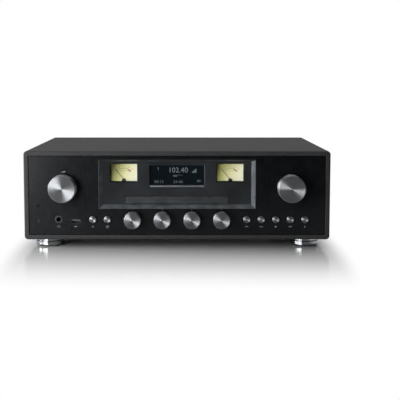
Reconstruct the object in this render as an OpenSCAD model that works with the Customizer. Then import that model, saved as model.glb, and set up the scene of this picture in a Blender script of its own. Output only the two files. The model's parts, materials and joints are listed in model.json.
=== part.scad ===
// Tabletop disc radio: a black board cabinet on chrome feet, a recessed bay with two
// needle meters, a display and a motor-driven disc tray, and turned metal knobs and buttons.
// Sizes are millimetres. Every module works in cabinet coordinates: x from the middle,
// y back from the cabinet's front edge, z up from the cabinet's underside.

/* [Cabinet] */
// Width of the cabinet
cabinet_w = 430; // [400:1:480]
// Height of the cabinet without its feet
cabinet_h = 125; // [115:1:150]
// Depth of the cabinet
cabinet_d = 290; // [265:1:360]
// Thickness of the cabinet boards
board_t = 9; // [7:0.5:10]
// How much of the board is cut away where the front and rear panels sit
rebate = 2.5; // [1:0.1:3]
// Rounding of the cabinet's long edges
corner_r = 5; // [2:0.5:6]
// Side of the square blocks that take the rear panel's screws
block_s = 15; // [14:1:20]
// Length of those blocks
block_l = 24; // [20:1:40]

/* [Feet] */
// Diameter of a foot
foot_d = 41; // [36:1:46]
// Height of a foot without its pad
foot_h = 10.5; // [9:0.5:20]
// Distance of a foot's middle from the cabinet's side
foot_inset_x = 32; // [28:1:60]
// Distance of a foot's middle from the cabinet's front or back
foot_inset_y = 30; // [28:1:60]
// Diameter of the rubber pad
pad_d = 33; // [24:1:34]
// Depth of the pad's seat in the foot
pad_seat = 0.8; // [0.5:0.1:2]
// How far the pad stands out of the foot
pad_out = 1.5; // [1:0.1:3]

/* [Fascia] */
// Thickness of the fascia
fascia_t = 4; // [3:0.5:5]
// Distance of the fascia behind the cabinet's front edge
fascia_setback = 1.5; // [0.5:0.1:3]
// Gap round a panel in its rebate
panel_gap = 0.4; // [0.2:0.1:0.6]
// Depth from the fascia's back to the control board
board_gap = 11.5; // [11.5:0.5:14]

/* [Bay] */
// Width of the recessed bay
bay_w = 221; // [218:1:226]
// Height of the bay's lower edge
bay_bottom = 43.3; // [42.5:0.1:43.5]
// Distance of the bay's upper edge below the cabinet's top
bay_head = 12; // [12:0.1:13]
// Depth of the bay
bay_depth = 6; // [5:0.5:8]
// Width of the bevel at the bay's sides
bevel_side = 6; // [3:0.5:8]
// Width of the bevel at the bay's foot
bevel_bottom = 6; // [4:0.5:6]
// Width of the bevel at the bay's head
bevel_top = 3.5; // [1:0.5:3.5]
// How far the bezel's flange reaches behind the fascia
bezel_flange = 2.5; // [2:0.5:2.5]
// Thickness of the window panel
window_t = 2.5; // [2:0.5:4]
// How far the window panel reaches behind the bezel
window_lap = 3; // [2:0.5:4]

/* [Meters] */
// Distance of a meter's middle from the centre line
meter_x = 75; // [70:0.5:78]
// Distance of a meter's middle below the cabinet's top
meter_drop = 31.1; // [31:0.1:33]
// Width of a meter's lit dial
meter_w = 37.2; // [32:0.1:40]
// Height of a meter's lit dial
meter_h = 24.6; // [20:0.1:25]
// Depth of a meter movement
movement_d = 22; // [16:1:30]
// Length of a needle from its pivot
needle_l = 18.5; // [14:0.5:19]
// Lean of a needle to the left of upright when the meter reads nothing
needle_rest = 40; // [30:1:45]

/* [Display] */
// Width of the display
display_w = 76.6; // [70:0.1:80]
// Height of the display
display_h = 27.7; // [24:0.1:28]
// Distance of the display's middle below the cabinet's top
display_drop = 35; // [34.5:0.1:36]
// Depth of the display module
display_d = 7; // [5:0.5:12]
// Width of the bright lip under the display
display_lip = 2.5; // [1:0.1:3]

/* [Knobs] */
// Diameter of the two large knobs
big_knob_d = 38.2; // [36:0.1:44]
// Length of the large knobs
big_knob_l = 17.5; // [14:0.5:22]
// Distance of a large knob from the cabinet's side
big_knob_inset = 55.3; // [50:0.1:60]
// Height of the large knobs
big_knob_z = 73.3; // [70:0.1:76]
// Diameter of the four small knobs
small_knob_d = 23.5; // [20:0.1:25.5]
// Length of the small knobs
small_knob_l = 13; // [10:0.5:16]
// Distance between neighbouring small knobs
small_knob_pitch = 41.6; // [40:0.1:43]
// Height of the small knobs and the buttons
control_z = 28.5; // [28:0.1:29]
// Diameter of a control shaft
shaft_d = 6; // [5:0.5:6.5]
// Gap between a knob and the fascia
knob_gap = 1.2; // [1.1:0.1:2]
// How far the tuning knob pushes in
push_travel = 0.8; // [0.5:0.1:0.9]

/* [Buttons] */
// Diameter of a button
button_d = 9.6; // [8:0.1:10]
// How far a button stands out of the fascia
button_out = 3.5; // [2.5:0.5:6]
// Distance of the innermost buttons from the centre line
button_x = 98; // [97:0.1:99]
// Distance of the outermost button from the cabinet's side
button_inset = 35.2; // [33:0.1:36]
// How far a button pushes in
button_travel = 0.8; // [0.5:0.1:0.9]

/* [Sockets in the fascia] */
// Height of the memory-stick socket
usb_z = 26; // [25:0.1:29]
// Distance of the headphone socket from the cabinet's side
phones_inset = 48.3; // [45:0.1:49]
// Diameter of the headphone plug's hole
phones_bore = 6.5; // [6.4:0.05:6.6]
// Distance of the sensor windows from the cabinet's side
sensor_inset = 20; // [19:0.1:22]
// Height of the lower sensor window
sensor_low = 27; // [25:0.5:32]
// Height of the upper sensor window
sensor_high = 48; // [45:0.5:60]
// Diameter of a sensor window
sensor_d = 4.6; // [3:0.1:6]

/* [Disc tray] */
// Width of the tray's front
tray_front_w = 145; // [140:0.5:146]
// Height of the tray's front
tray_front_h = 10.5; // [10:0.1:10.8]
// Height of the tray front's lower edge
tray_front_z = 50; // [49.9:0.1:50.5]
// Thickness of the tray's front
tray_front_t = 3.5; // [3:0.5:5]
// Width of the tray between its rails
tray_w = 128; // [126:1:130]
// Thickness of the tray
tray_t = 7; // [6.8:0.1:7.4]
// Diameter of the disc's well
well_d = 121; // [120.5:0.1:122]
// Depth of the disc's well
well_depth = 4.5; // [4.3:0.1:4.8]
// How far the tray slides out
tray_travel = 135; // [128:1:138]
// Teeth on the tray's drive gear
gear_teeth = 18; // [18:1:20]
// Module of the rack and its gear
gear_module = 1; // [0.9:0.05:1.1]
// Play between the teeth of the rack and its gear
gear_play = 0.2; // [0.15:0.05:0.3]

/* [Disc drive] */
// Diameter of the turntable
turntable_d = 30; // [26:1:32]
// How far the pickup slides along its rods
sled_travel = 34; // [30:1:34]
// Diameter of the pickup's guide rods
rod_d = 3; // [2:0.5:4]
// How far the turntable drops to clear the tray, in degrees
traverse_drop = 5; // [4:0.5:5]

/* [Rear panel] */
// Thickness of the rear panel
rear_t = 2; // [1.5:0.1:3]
// How far the speaker terminals stand out of the rear panel
terminal_out = 14; // [12:0.5:20]

/* [Clearances] */
// Radial gap of a shaft or rod that turns or slides in a hole
run_gap = 0.06; // [0.02:0.01:0.1]
// Gap of a loose fit, such as a button in its hole
loose_gap = 0.2; // [0.15:0.05:0.3]
// Gap that keeps a moving piece clear of its neighbour
clear_gap = 0.3; // [0.25:0.05:0.5]

/* [Hidden] */
$fn = 96;
eps = 0.01;

// Places on the front: the bay hangs from the top, the end pieces keep their distance from the sides
bay_top = cabinet_h - bay_head;
meter_z = cabinet_h - meter_drop;
display_z = cabinet_h - display_drop;
big_knob_x = cabinet_w / 2 - big_knob_inset;
sensor_x = cabinet_w / 2 - sensor_inset;
sensor_zs = [sensor_low, sensor_high];
phones_x = cabinet_w / 2 - phones_inset;
left_buttons = 2;
right_buttons = 5;
button_pitch = (cabinet_w / 2 - button_inset - button_x) / (right_buttons - 1);
usb_x = (button_x + (left_buttons - 1) * button_pitch + phones_x) / 2;

// Places along the depth
fascia_y = fascia_setback;
fascia_back = fascia_y + fascia_t;
bay_back = fascia_y + bay_depth;
window_back = bay_back + window_t;
board_y = fascia_back + board_gap;
pcb_t = 1.6;
rear_y = cabinet_d - fascia_setback - rear_t;
knob_back = fascia_y - knob_gap;
stand_h = foot_h + pad_out;

// The object's box runs from the large knobs to the speaker terminals, and is centred on the origin
box_front = knob_back - big_knob_l;
box_back = rear_y + rear_t + terminal_out;
front_y = -(box_front + box_back) / 2;

// Inside of the cabinet
floor_z = board_t;
inner_w = cabinet_w - 2 * board_t;
inner_h = cabinet_h - 2 * board_t;
panel_w = cabinet_w - 2 * (board_t - rebate) - 2 * panel_gap;
panel_h = cabinet_h - 2 * (board_t - rebate) - 2 * panel_gap;

module placed() {
    translate([0, front_y, stand_h]) children();
}

// Turns a shape that stands along z so that it runs back along y
module along_y() {
    rotate([-90, 0, 0]) children();
}

// A cylinder that runs back from y0 to y1
module rod_y(d, y0, y1) {
    translate([0, y0, 0]) along_y() cylinder(d = d, h = y1 - y0);
}

// A box with its middle at x and z, from y0 to y1
module block_y(w, h, y0, y1) {
    translate([-w / 2, y0, -h / 2]) cube([w, y1 - y0, h]);
}

module at(x, z) {
    translate([x, 0, z]) children();
}

// A flat outline in x and z, given thickness from y0 to y1
module plate_y(y0, y1) {
    translate([0, y1, 0]) rotate([90, 0, 0]) linear_extrude(y1 - y0) children();
}

module rounded_rect(w, h, r) {
    square([w - 2 * r, h], center = true);
    square([w, h - 2 * r], center = true);
    for (sx = [-1, 1], sz = [-1, 1])
        translate([sx * (w / 2 - r), sz * (h / 2 - r)]) circle(r);
}

// Cabinet and its panels

screw_d = 3.5;
screw_head_d = 7;
screw_head_h = 2.2;
screw_l = 12;
foot_x = cabinet_w / 2 - foot_inset_x;
foot_ys = [foot_inset_y, cabinet_d - foot_inset_y];
block_x = inner_w / 2 - block_s / 2;
block_zs = [floor_z + block_s / 2, cabinet_h - board_t - block_s / 2];

module at_feet() {
    for (sx = [-1, 1], y = foot_ys) translate([sx * foot_x, y, 0]) children();
}

module at_blocks() {
    for (sx = [-1, 1], z = block_zs) at(sx * block_x, z) children();
}

module cabinet() {
    color([0.07, 0.07, 0.075]) difference() {
        union() {
            at(0, cabinet_h / 2) plate_y(0, cabinet_d) difference() {
                rounded_rect(cabinet_w, cabinet_h, corner_r);
                square([inner_w, inner_h], center = true);
            }
            at_blocks() block_y(block_s, block_s, rear_y - block_l, rear_y);
        }
        at(0, cabinet_h / 2) {
            block_y(inner_w + 2 * rebate, inner_h + 2 * rebate, -1, fascia_back);
            block_y(inner_w + 2 * rebate, inner_h + 2 * rebate, rear_y, cabinet_d + 1);
        }
        at_feet() translate([0, 0, -1]) cylinder(d = screw_d, h = screw_l - foot_web + 1);
        at_blocks() rod_y(screw_d, rear_y - screw_l, rear_y + 1);
    }
}

// Feet: the screw goes up through the web that is left above the pad's seat
foot_chamfer = 1;
foot_groove = 0.8;
foot_groove_z = 0.62 * foot_h;
foot_web = 4;
head_room = 1.5;

module feet() {
    color([0.8, 0.8, 0.82]) at_feet() translate([0, 0, -foot_h]) difference() {
        rotate_extrude() polygon([
            [0, 0], [foot_d / 2 - foot_chamfer, 0], [foot_d / 2, foot_chamfer],
            [foot_d / 2, foot_groove_z - foot_groove], [foot_d / 2 - foot_groove, foot_groove_z],
            [foot_d / 2, foot_groove_z + foot_groove], [foot_d / 2, foot_h - foot_chamfer / 2],
            [foot_d / 2 - foot_chamfer / 2, foot_h], [0, foot_h]]);
        translate([0, 0, -1]) cylinder(d = pad_d + 2 * loose_gap, h = pad_seat + 1);
        translate([0, 0, -1]) cylinder(d = screw_head_d + 2 * head_room, h = foot_h - foot_web + 1);
        cylinder(d = screw_d + 2 * loose_gap, h = foot_h + 1);
    }
}

module foot_pads() {
    color([0.05, 0.05, 0.05]) at_feet() translate([0, 0, -stand_h]) difference() {
        cylinder(d = pad_d, h = pad_out + pad_seat);
        translate([0, 0, -1]) cylinder(d = screw_head_d + 2 * head_room, h = pad_out + pad_seat + 2);
    }
}

// A pan-head screw whose head sits under z = 0 and whose shank goes up
module screw() {
    translate([0, 0, -screw_head_h]) difference() {
        union() {
            cylinder(d1 = screw_head_d - 1, d2 = screw_head_d, h = screw_head_h);
            cylinder(d = screw_d - 2 * run_gap, h = screw_head_h + screw_l - 0.5);
        }
        for (turn = [0, 90]) rotate(turn) translate([-2, -0.4, -1]) cube([4, 0.8, 1.9]);
    }
}

module case_screws() {
    color([0.55, 0.55, 0.56]) {
        at_feet() translate([0, 0, -foot_web]) screw();
        at_blocks() translate([0, rear_y + rear_t, 0]) rotate([90, 0, 0]) screw();
    }
}

// Fascia: a plate with holes for everything that looks through it
bush_wall = 1.25;
bush_d = shaft_d + 2 * bush_wall;
small_knob_xs = [for (i = [0:3]) (i - 1.5) * small_knob_pitch];
left_button_xs = [for (i = [left_buttons - 1:-1:0]) -button_x - i * button_pitch];
right_button_xs = [for (i = [0:right_buttons - 1]) button_x + i * button_pitch];
button_xs = concat(left_button_xs, right_button_xs);
big_knob_xs = [-big_knob_x, big_knob_x];
usb_w = 13.1;
usb_h = 5.7;
phones_d = 11;
bay_h = bay_top - bay_bottom;
bay_z = (bay_top + bay_bottom) / 2;

module fascia() {
    color([0.04, 0.042, 0.048]) difference() {
        at(0, cabinet_h / 2) block_y(panel_w, panel_h, fascia_y, fascia_back);
        at(0, bay_z) block_y(bay_w, bay_h, 0, board_y);
        for (x = big_knob_xs) at(x, big_knob_z) rod_y(bush_d + 2 * loose_gap, 0, board_y);
        for (x = small_knob_xs) at(x, control_z) rod_y(bush_d + 2 * loose_gap, 0, board_y);
        for (x = button_xs) at(x, control_z) rod_y(button_d + 2 * loose_gap, 0, board_y);
        at(-phones_x, control_z) rod_y(phones_d + 2 * loose_gap, 0, board_y);
        at(-usb_x, usb_z) block_y(usb_w + 2 * loose_gap, usb_h + 2 * loose_gap, 0, board_y);
        for (z = sensor_zs) at(-sensor_x, z) rod_y(sensor_d + 2 * loose_gap, 0, board_y);
    }
}

// Bay bezel: a frame whose four inner faces slope back to the window
bezel_rim = 0.6;
window_w = bay_w - 2 * bevel_side;
window_bottom = bay_bottom + bevel_bottom;
window_top = bay_top - bevel_top;

module bay_bezel() {
    out = eps;
    color([0.10, 0.11, 0.12]) difference() {
        union() {
            at(0, bay_z)
                block_y(bay_w - 2 * loose_gap, bay_h - 2 * loose_gap, fascia_y, bay_back);
            at(0, bay_z)
                block_y(bay_w + 2 * bezel_flange, bay_h + 2 * bezel_flange, fascia_back, bay_back);
        }
        intersection() {
            linear_extrude(cabinet_h) polygon([
                [-bay_w / 2 + bezel_rim, fascia_y - out], [bay_w / 2 - bezel_rim, fascia_y - out],
                [window_w / 2, bay_back + out], [-window_w / 2, bay_back + out]]);
            rotate([90, 0, 90]) linear_extrude(bay_w, center = true) polygon([
                [fascia_y - out, bay_bottom + bezel_rim], [bay_back + out, window_bottom],
                [bay_back + out, window_top], [fascia_y - out, bay_top - bezel_rim]]);
        }
    }
}

// Window panel: the plate at the back of the bay, cut for meters, display and tray
meter_rim = 0.9;
display_edge = 0.8;
tray_slot_gap = 0.6;
tray_mid_z = tray_front_z + tray_front_h / 2;
lens_w = meter_w + 2 * meter_rim;
lens_h = meter_h + 2 * meter_rim;

module window_panel() {
    w = window_w + 2 * window_lap;
    low = window_bottom - window_lap;
    high = window_top + window_lap;
    color([0.035, 0.037, 0.042]) difference() {
        at(0, (low + high) / 2) block_y(w, high - low, bay_back, window_back);
        for (sx = [-1, 1]) at(sx * meter_x, meter_z)
            block_y(lens_w + 2 * loose_gap, lens_h + 2 * loose_gap, bay_back - 1, window_back + 1);
        at(0, tray_mid_z) block_y(tray_front_w + 2 * tray_slot_gap,
            tray_front_h + 2 * tray_slot_gap, bay_back - 1, window_back + 1);
        at(0, display_z) block_y(display_w, display_h, bay_back - 1, window_back + 1);
        intersection() {
            at(0, display_z) rotate([90, 0, 90]) linear_extrude(window_w, center = true) polygon([
                [bay_back - 1, -display_h / 2 - display_lip],
                [bay_back, -display_h / 2 - display_lip], [window_back, -display_h / 2],
                [window_back, display_h / 2], [bay_back, display_h / 2 + display_edge],
                [bay_back - 1, display_h / 2 + display_edge]]);
            linear_extrude(cabinet_h) polygon([
                [-display_w / 2 - display_edge, bay_back - 1], [display_w / 2 + display_edge, bay_back - 1],
                [display_w / 2 + display_edge, bay_back], [display_w / 2, window_back],
                [-display_w / 2, window_back], [-display_w / 2 - display_edge, bay_back]]);
        }
    }
}

module display_module() {
    frame = 3;
    color([0.02, 0.022, 0.025]) at(0, display_z)
        block_y(display_w + 2 * frame, display_h + 2 * frame, window_back, window_back + display_d);
}

// Meters: a lens in the window, a lit dial and a needle in front of a moving-coil movement

movement_wall = 2.2;
dial_t = 0.8;
dial_depth = 3;
lens_setback = 0.5;
pivot_up = 2.5;
pivot_d = 1.2;
cover_r = 5;
cover_t = 0.6;
hub_d = 3.6;
hub_t = 1;
needle_w = 0.7;
needle_t = 0.4;
needle_tail = 1.7;
pivot_z = meter_z - meter_h / 2 + pivot_up;
dial_y = window_back + dial_depth;
hub_y = window_back + cover_t + 0.7;

module at_meters() {
    for (sx = [-1, 1]) at(sx * meter_x, 0) children();
}

module meter_lenses() {
    color([0.9, 0.9, 0.85, 0.3]) at_meters() at(0, meter_z)
        block_y(lens_w, lens_h, bay_back + lens_setback, window_back);
}

module meter_dials() {
    color([0.9, 0.88, 0.6]) at_meters() difference() {
        at(0, meter_z) block_y(meter_w - loose_gap, meter_h - loose_gap, dial_y, dial_y + dial_t);
        at(0, pivot_z) rod_y(pivot_d + 2 * loose_gap, dial_y - 1, dial_y + dial_t + 1);
    }
}

module meter_movements() {
    back = window_back + movement_d;
    cavity_back = dial_y + dial_t;
    color([0.06, 0.06, 0.06]) at_meters() {
        difference() {
            at(0, meter_z)
                block_y(lens_w + 2 * movement_wall, lens_h + 2 * movement_wall, window_back, back);
            at(0, meter_z) block_y(meter_w, meter_h, window_back - 1, cavity_back);
        }
        at(0, pivot_z) rod_y(pivot_d, hub_y - 0.3, cavity_back + 1);
        difference() {
            at(0, pivot_z) rod_y(2 * cover_r, window_back + 0.2, window_back + 0.2 + cover_t);
            at(0, pivot_z - pivot_up - cover_r - 1)
                block_y(4 * cover_r, 2 * cover_r, window_back - 1, window_back + movement_d);
        }
    }
}

module needle() {
    color([0.05, 0.03, 0.03]) at(0, pivot_z) rotate([0, -needle_rest, 0]) difference() {
        union() {
            rod_y(hub_d, hub_y, hub_y + hub_t);
            at(0, (needle_l - needle_tail) / 2)
                block_y(needle_w, needle_l + needle_tail, hub_y + 0.3, hub_y + 0.3 + needle_t);
        }
        rod_y(pivot_d + 2 * run_gap, hub_y - 1, hub_y + hub_t + 1);
    }
}

module left_meter_needle() at(-meter_x, 0) needle();
module right_meter_needle() at(meter_x, 0) needle();

// Rotary controls: a body on the control board with a bush through the fascia

control_d = 7;
encoder_s = 14;
pot_s = 16;
control_y = board_y - control_d;
control_bore = shaft_d + 2 * run_gap;
bore_end = board_y - 0.4;
rotor_d = 11.6;
rotor_y = [control_y + 1.5, control_y + 4.5];

module rotary_body(side) {
    difference() {
        union() {
            block_y(side, side, control_y, board_y);
            rod_y(bush_d, fascia_y + 1, control_y);
        }
        rod_y(control_bore, 0, bore_end);
        rod_y(rotor_d + 2 * loose_gap, rotor_y[0] - loose_gap, rotor_y[1] + loose_gap);
    }
}

module encoders() {
    color([0.3, 0.3, 0.31]) for (x = big_knob_xs) at(x, big_knob_z) rotary_body(encoder_s);
}

module tone_pots() {
    color([0.25, 0.26, 0.3]) for (x = small_knob_xs) at(x, control_z) rotary_body(pot_s);
}

// A hollow turned cap: its side view, from the axis outwards, with the back at 0 and the front at l
knob_chamfer = 1.2;
knob_wall = 2.5;
knob_face = 4;
knob_hub_d = 11;

function knob_profile(d, l, bore_d) = [
    [0, l], [d / 2 - knob_chamfer, l], [d / 2, l - knob_chamfer], [d / 2, 0.5], [d / 2 - 0.5, 0],
    [d / 2 - knob_wall, 0], [d / 2 - knob_wall, l - knob_face], [knob_hub_d / 2, l - knob_face],
    [knob_hub_d / 2, 0], [bore_d / 2, 0], [bore_d / 2, l - knob_face], [0, l - knob_face]];

module big_knob(x) {
    color([0.78, 0.79, 0.81]) translate([x, knob_back, big_knob_z]) rotate([90, 0, 0])
        rotate_extrude() polygon(knob_profile(big_knob_d, big_knob_l, shaft_d + 0.04));
}

module volume_knob() big_knob(-big_knob_x);
module tuning_knob() big_knob(big_knob_x);

shaft_front = knob_back - big_knob_l + knob_face;

module rotor_disc(bore_d) {
    difference() {
        rod_y(rotor_d, rotor_y[0], rotor_y[1]);
        rod_y(bore_d, rotor_y[0] - 1, rotor_y[1] + 1);
    }
}

module volume_shaft() {
    color([0.7, 0.7, 0.68]) at(-big_knob_x, big_knob_z) {
        rod_y(shaft_d, shaft_front, bore_end - clear_gap);
        rotor_disc(shaft_d - 1);
    }
}

module tuning_shaft() {
    color([0.7, 0.7, 0.68]) at(big_knob_x, big_knob_z)
        rod_y(shaft_d, shaft_front, bore_end - push_travel - clear_gap);
}

module tuning_rotor() {
    color([0.85, 0.83, 0.75]) at(big_knob_x, big_knob_z) rotor_disc(control_bore);
}

// A small knob is moulded with its spindle, which plugs into the hollow control behind it
pointer_d = 1.8;

module small_knob(i) {
    color([0.78, 0.79, 0.81]) at(small_knob_xs[i], control_z) difference() {
        union() {
            translate([0, knob_back, 0]) rotate([90, 0, 0]) rotate_extrude()
                polygon(knob_profile(small_knob_d, small_knob_l, shaft_d));
            rod_y(shaft_d, knob_back - small_knob_l + knob_face - 0.5, bore_end - clear_gap);
        }
        at(0, small_knob_d / 2 - knob_chamfer - pointer_d)
            rod_y(pointer_d, knob_back - small_knob_l - 1, knob_back - small_knob_l + 0.6);
    }
}

module bass_knob() small_knob(0);
module treble_knob() small_knob(1);
module balance_knob() small_knob(2);
module loudness_knob() small_knob(3);

// Buttons and the switches behind them

button_chamfer = 0.6;
flange_d = button_d + 2.4;
flange_t = 1.5;
stem_d = 4;
switch_h = 3.4;
actuator_h = 0.7;
switch_s = 6;
switch_y = board_y - switch_h - actuator_h;

module button(i) {
    front = fascia_y - button_out;
    flange_y = fascia_back + clear_gap;
    stem_end = switch_y - button_travel - clear_gap;
    color([0.76, 0.77, 0.79]) translate([button_xs[i], front, control_z]) along_y()
        rotate_extrude() polygon([
            [0, 0], [button_d / 2 - button_chamfer, 0], [button_d / 2, button_chamfer],
            [button_d / 2, flange_y - front], [flange_d / 2, flange_y - front],
            [flange_d / 2, flange_y + flange_t - front], [stem_d / 2, flange_y + flange_t - front],
            [stem_d / 2, stem_end - front], [0, stem_end - front]]);
}

module menu_button() button(0);
module source_button() button(1);
module previous_button() button(2);
module play_button() button(3);
module stop_button() button(4);
module next_button() button(5);
module eject_button() button(6);

module tact_switches() {
    color([0.15, 0.15, 0.16]) for (x = button_xs) at(x, control_z) {
        block_y(switch_s, switch_s, switch_y + actuator_h, board_y);
        rod_y(stem_d - 0.6, switch_y, switch_y + actuator_h + 0.5);
    }
}

// Sockets and sensor windows in the fascia

usb_wall = 0.3;
usb_depth = 12;
usb_tongue = [11, 1.8];
phones_body = 15;
phones_depth = 22;
phones_bore_l = 18;

module usb_socket() {
    front = fascia_y + 0.4;
    cavity_h = usb_h - 2 * usb_wall;
    color([0.75, 0.75, 0.76]) at(-usb_x, usb_z) {
        difference() {
            block_y(usb_w, usb_h, front, board_y);
            block_y(usb_w - 2 * usb_wall, cavity_h, front - 1, front + usb_depth);
        }
        at(0, (cavity_h - usb_tongue[1]) / 4)
            block_y(usb_tongue[0], usb_tongue[1], front + 2.5, front + usb_depth + 1);
    }
}

module headphone_socket() {
    front = fascia_y - 0.3;
    color([0.03, 0.03, 0.03]) at(-phones_x, control_z) difference() {
        union() {
            rod_y(phones_d, front, fascia_back + 1);
            block_y(phones_body, phones_body, fascia_back, fascia_back + phones_depth);
        }
        rod_y(phones_bore, front - 1, front + phones_bore_l);
    }
}

module sensor_windows() {
    color([0.02, 0.02, 0.025]) for (z = sensor_zs) at(-sensor_x, z)
        rod_y(sensor_d, fascia_y - 0.2, board_y);
}

// Control board: a U round the bay, with a window for the headphone socket
board_edge = 4;
wing_x = bay_w / 2 + bezel_flange;
strip_z = 41;
wing_top = 98;

module control_board() {
    half = inner_w / 2 - board_edge;
    low = floor_z + 1.5;
    color([0.08, 0.3, 0.15]) difference() {
        plate_y(board_y, board_y + pcb_t) polygon([
            [-half, low], [half, low], [half, wing_top], [wing_x, wing_top], [wing_x, strip_z],
            [-wing_x, strip_z], [-wing_x, wing_top], [-half, wing_top]]);
        at(-phones_x, control_z) block_y(phones_body + 2 * loose_gap, phones_body + 2 * loose_gap,
            board_y - 1, board_y + pcb_t + 1);
    }
}

// Disc tray: its front closes the slot in the window panel; a rack on its left edge drives it

tray_proud = 0.6;
tray_y = bay_back - tray_proud + tray_front_t;
tray_wall = 7;
tray_l = 168;
tray_z = tray_front_z + (tray_front_h - tray_t) / 2 - 0.25;
disc_y = tray_y + tray_wall + well_d / 2;
small_well_d = 82;
small_well_depth = 0.7;
slot_w = 44;
slot_lead = turntable_d / 2 + 3;
pitch_r = gear_module * gear_teeth / 2;
rack_root = 1.35 * gear_module;
rack_h = 3.5;
pressure_angle = 20;
gear_x = -(tray_w / 2 + rack_root + pitch_r);
gear_in = 20;
gear_y = tray_y + gear_in;
rack_end = 8;

module disc_tray() {
    color([0.05, 0.05, 0.055]) {
        translate([0, 0, tray_z]) difference() {
            translate([-tray_w / 2, tray_y, 0]) cube([tray_w, tray_l, tray_t]);
            translate([0, disc_y, tray_t - well_depth]) cylinder(d = well_d, h = tray_t);
            translate([0, disc_y, tray_t - well_depth - small_well_depth])
                cylinder(d = small_well_d, h = tray_t);
            translate([-slot_w / 2, disc_y - slot_lead, -1]) cube([slot_w, tray_l, tray_t + 2]);
        }
        translate([-tray_w / 2, gear_y, tray_z]) linear_extrude(rack_h) rack_teeth();
    }
}

// Rack teeth that point left, with a gap facing the gear when the tray is shut
module rack_teeth() {
    pitch = PI * gear_module;
    lean = tan(pressure_angle);
    half = (pitch / 2 - gear_play) / 2;
    foot = half + rack_root * lean;
    tip = half - gear_module * lean;
    out = rack_root + gear_module;
    for (k = [-floor(rack_end / pitch):floor((tray_travel + rack_end) / pitch)])
        translate([0, (k + 0.5) * pitch])
            polygon([[0.5, -foot], [0.5, foot], [0, foot], [-out, tip], [-out, -tip], [0, -foot]]);
}

module tray_front() {
    color([0.06, 0.063, 0.07]) at(0, tray_mid_z)
        block_y(tray_front_w, tray_front_h, tray_y - tray_front_t, tray_y);
}

// Drive gear: the pinion that meets the rack, over a pulley for the belt

plate_z = [42, 44.5];
pulley_r = 12;
motor_pulley_r = 3.5;
pulley_z = [plate_z[1] + 0.4, plate_z[1] + 4.4];
belt_w = 1.6;
belt_t = 1.2;
groove = 0.8;
gear_post_d = 3;
gear_hub_d = 8;
lip_z = tray_z + tray_t + clear_gap;
motor_span = 38;
motor_y = gear_y + motor_span;

// Turn of an involute away from where it leaves its base circle, in degrees
function involute(r, base_r) = let (t = sqrt(pow(r / base_r, 2) - 1)) t * 180 / PI - atan(t);

module gear_outline() {
    base_r = pitch_r * cos(pressure_angle);
    root_r = pitch_r - 1.25 * gear_module;
    tip_r = pitch_r + gear_module;
    half = 90 / gear_teeth - gear_play / 4 / pitch_r * 180 / PI + involute(pitch_r, base_r);
    steps = [for (i = [0:4]) base_r + (tip_r - base_r) * i / 4];
    circle(root_r);
    for (k = [0:gear_teeth - 1]) rotate(k * 360 / gear_teeth) polygon(concat(
        [[root_r - 0.5, -(root_r - 0.5) * sin(half)]],
        [for (r = steps) r * [cos(half - involute(r, base_r)), -sin(half - involute(r, base_r))]],
        [for (i = [4:-1:0]) let (a = half - involute(steps[i], base_r)) steps[i] * [cos(a), sin(a)]],
        [[root_r - 0.5, (root_r - 0.5) * sin(half)]]));
}

// A pulley with a groove of the belt's width, standing on z = 0
module pulley(r) {
    h = pulley_z[1] - pulley_z[0];
    low = (h - belt_w) / 2 - clear_gap;
    rotate_extrude() polygon([
        [0, 0], [r + groove, 0], [r + groove, low], [r, low], [r, h - low], [r + groove, h - low],
        [r + groove, h], [0, h]]);
}

module tray_gear() {
    color([0.9, 0.9, 0.88]) translate([gear_x, gear_y, 0]) difference() {
        union() {
            translate([0, 0, pulley_z[0]]) pulley(pulley_r);
            translate([0, 0, pulley_z[0]])
                cylinder(d = gear_hub_d, h = lip_z - clear_gap - pulley_z[0]);
            translate([0, 0, tray_z]) linear_extrude(rack_h) gear_outline();
        }
        cylinder(d = gear_post_d + 2 * run_gap, h = cabinet_h);
    }
}

motor_d = 24;
motor_h = 22;
motor_shaft_d = 2;

module loading_motor() {
    color([0.72, 0.73, 0.74]) translate([gear_x, motor_y, plate_z[0]]) mirror([0, 0, 1]) difference() {
        union() {
            cylinder(d = motor_d, h = motor_h);
            translate([0, 0, motor_h]) cylinder(d = 8, h = 2);
        }
        translate([0, 0, -1]) cylinder(d = motor_shaft_d + 2 * run_gap, h = 9);
    }
}

module motor_pulley() {
    color([0.85, 0.8, 0.55]) translate([gear_x, motor_y, 0]) {
        translate([0, 0, pulley_z[0]]) pulley(motor_pulley_r);
        translate([0, 0, plate_z[0] - 7]) cylinder(d = motor_shaft_d, h = pulley_z[1] - plate_z[0] + 8);
    }
}

// Outline round both pulleys, its straight runs touching both circles
module belt_outline(extra) {
    r1 = pulley_r + extra;
    r2 = motor_pulley_r + extra;
    span = motor_y - gear_y;
    a = asin((r1 - r2) / span);
    circle(r1);
    translate([0, span]) circle(r2);
    polygon([
        [-r1 * cos(a), r1 * sin(a)], [r1 * cos(a), r1 * sin(a)],
        [r2 * cos(a), span + r2 * sin(a)], [-r2 * cos(a), span + r2 * sin(a)]]);
}

module loading_belt() {
    color([0.04, 0.04, 0.04])
        translate([gear_x, gear_y, (pulley_z[0] + pulley_z[1] - belt_w) / 2]) linear_extrude(belt_w)
            difference() {
                belt_outline(clear_gap + belt_t);
                belt_outline(clear_gap);
            }
}

// Loader frame: a deck on four legs, with ribs under the tray and lips over its edges

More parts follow.
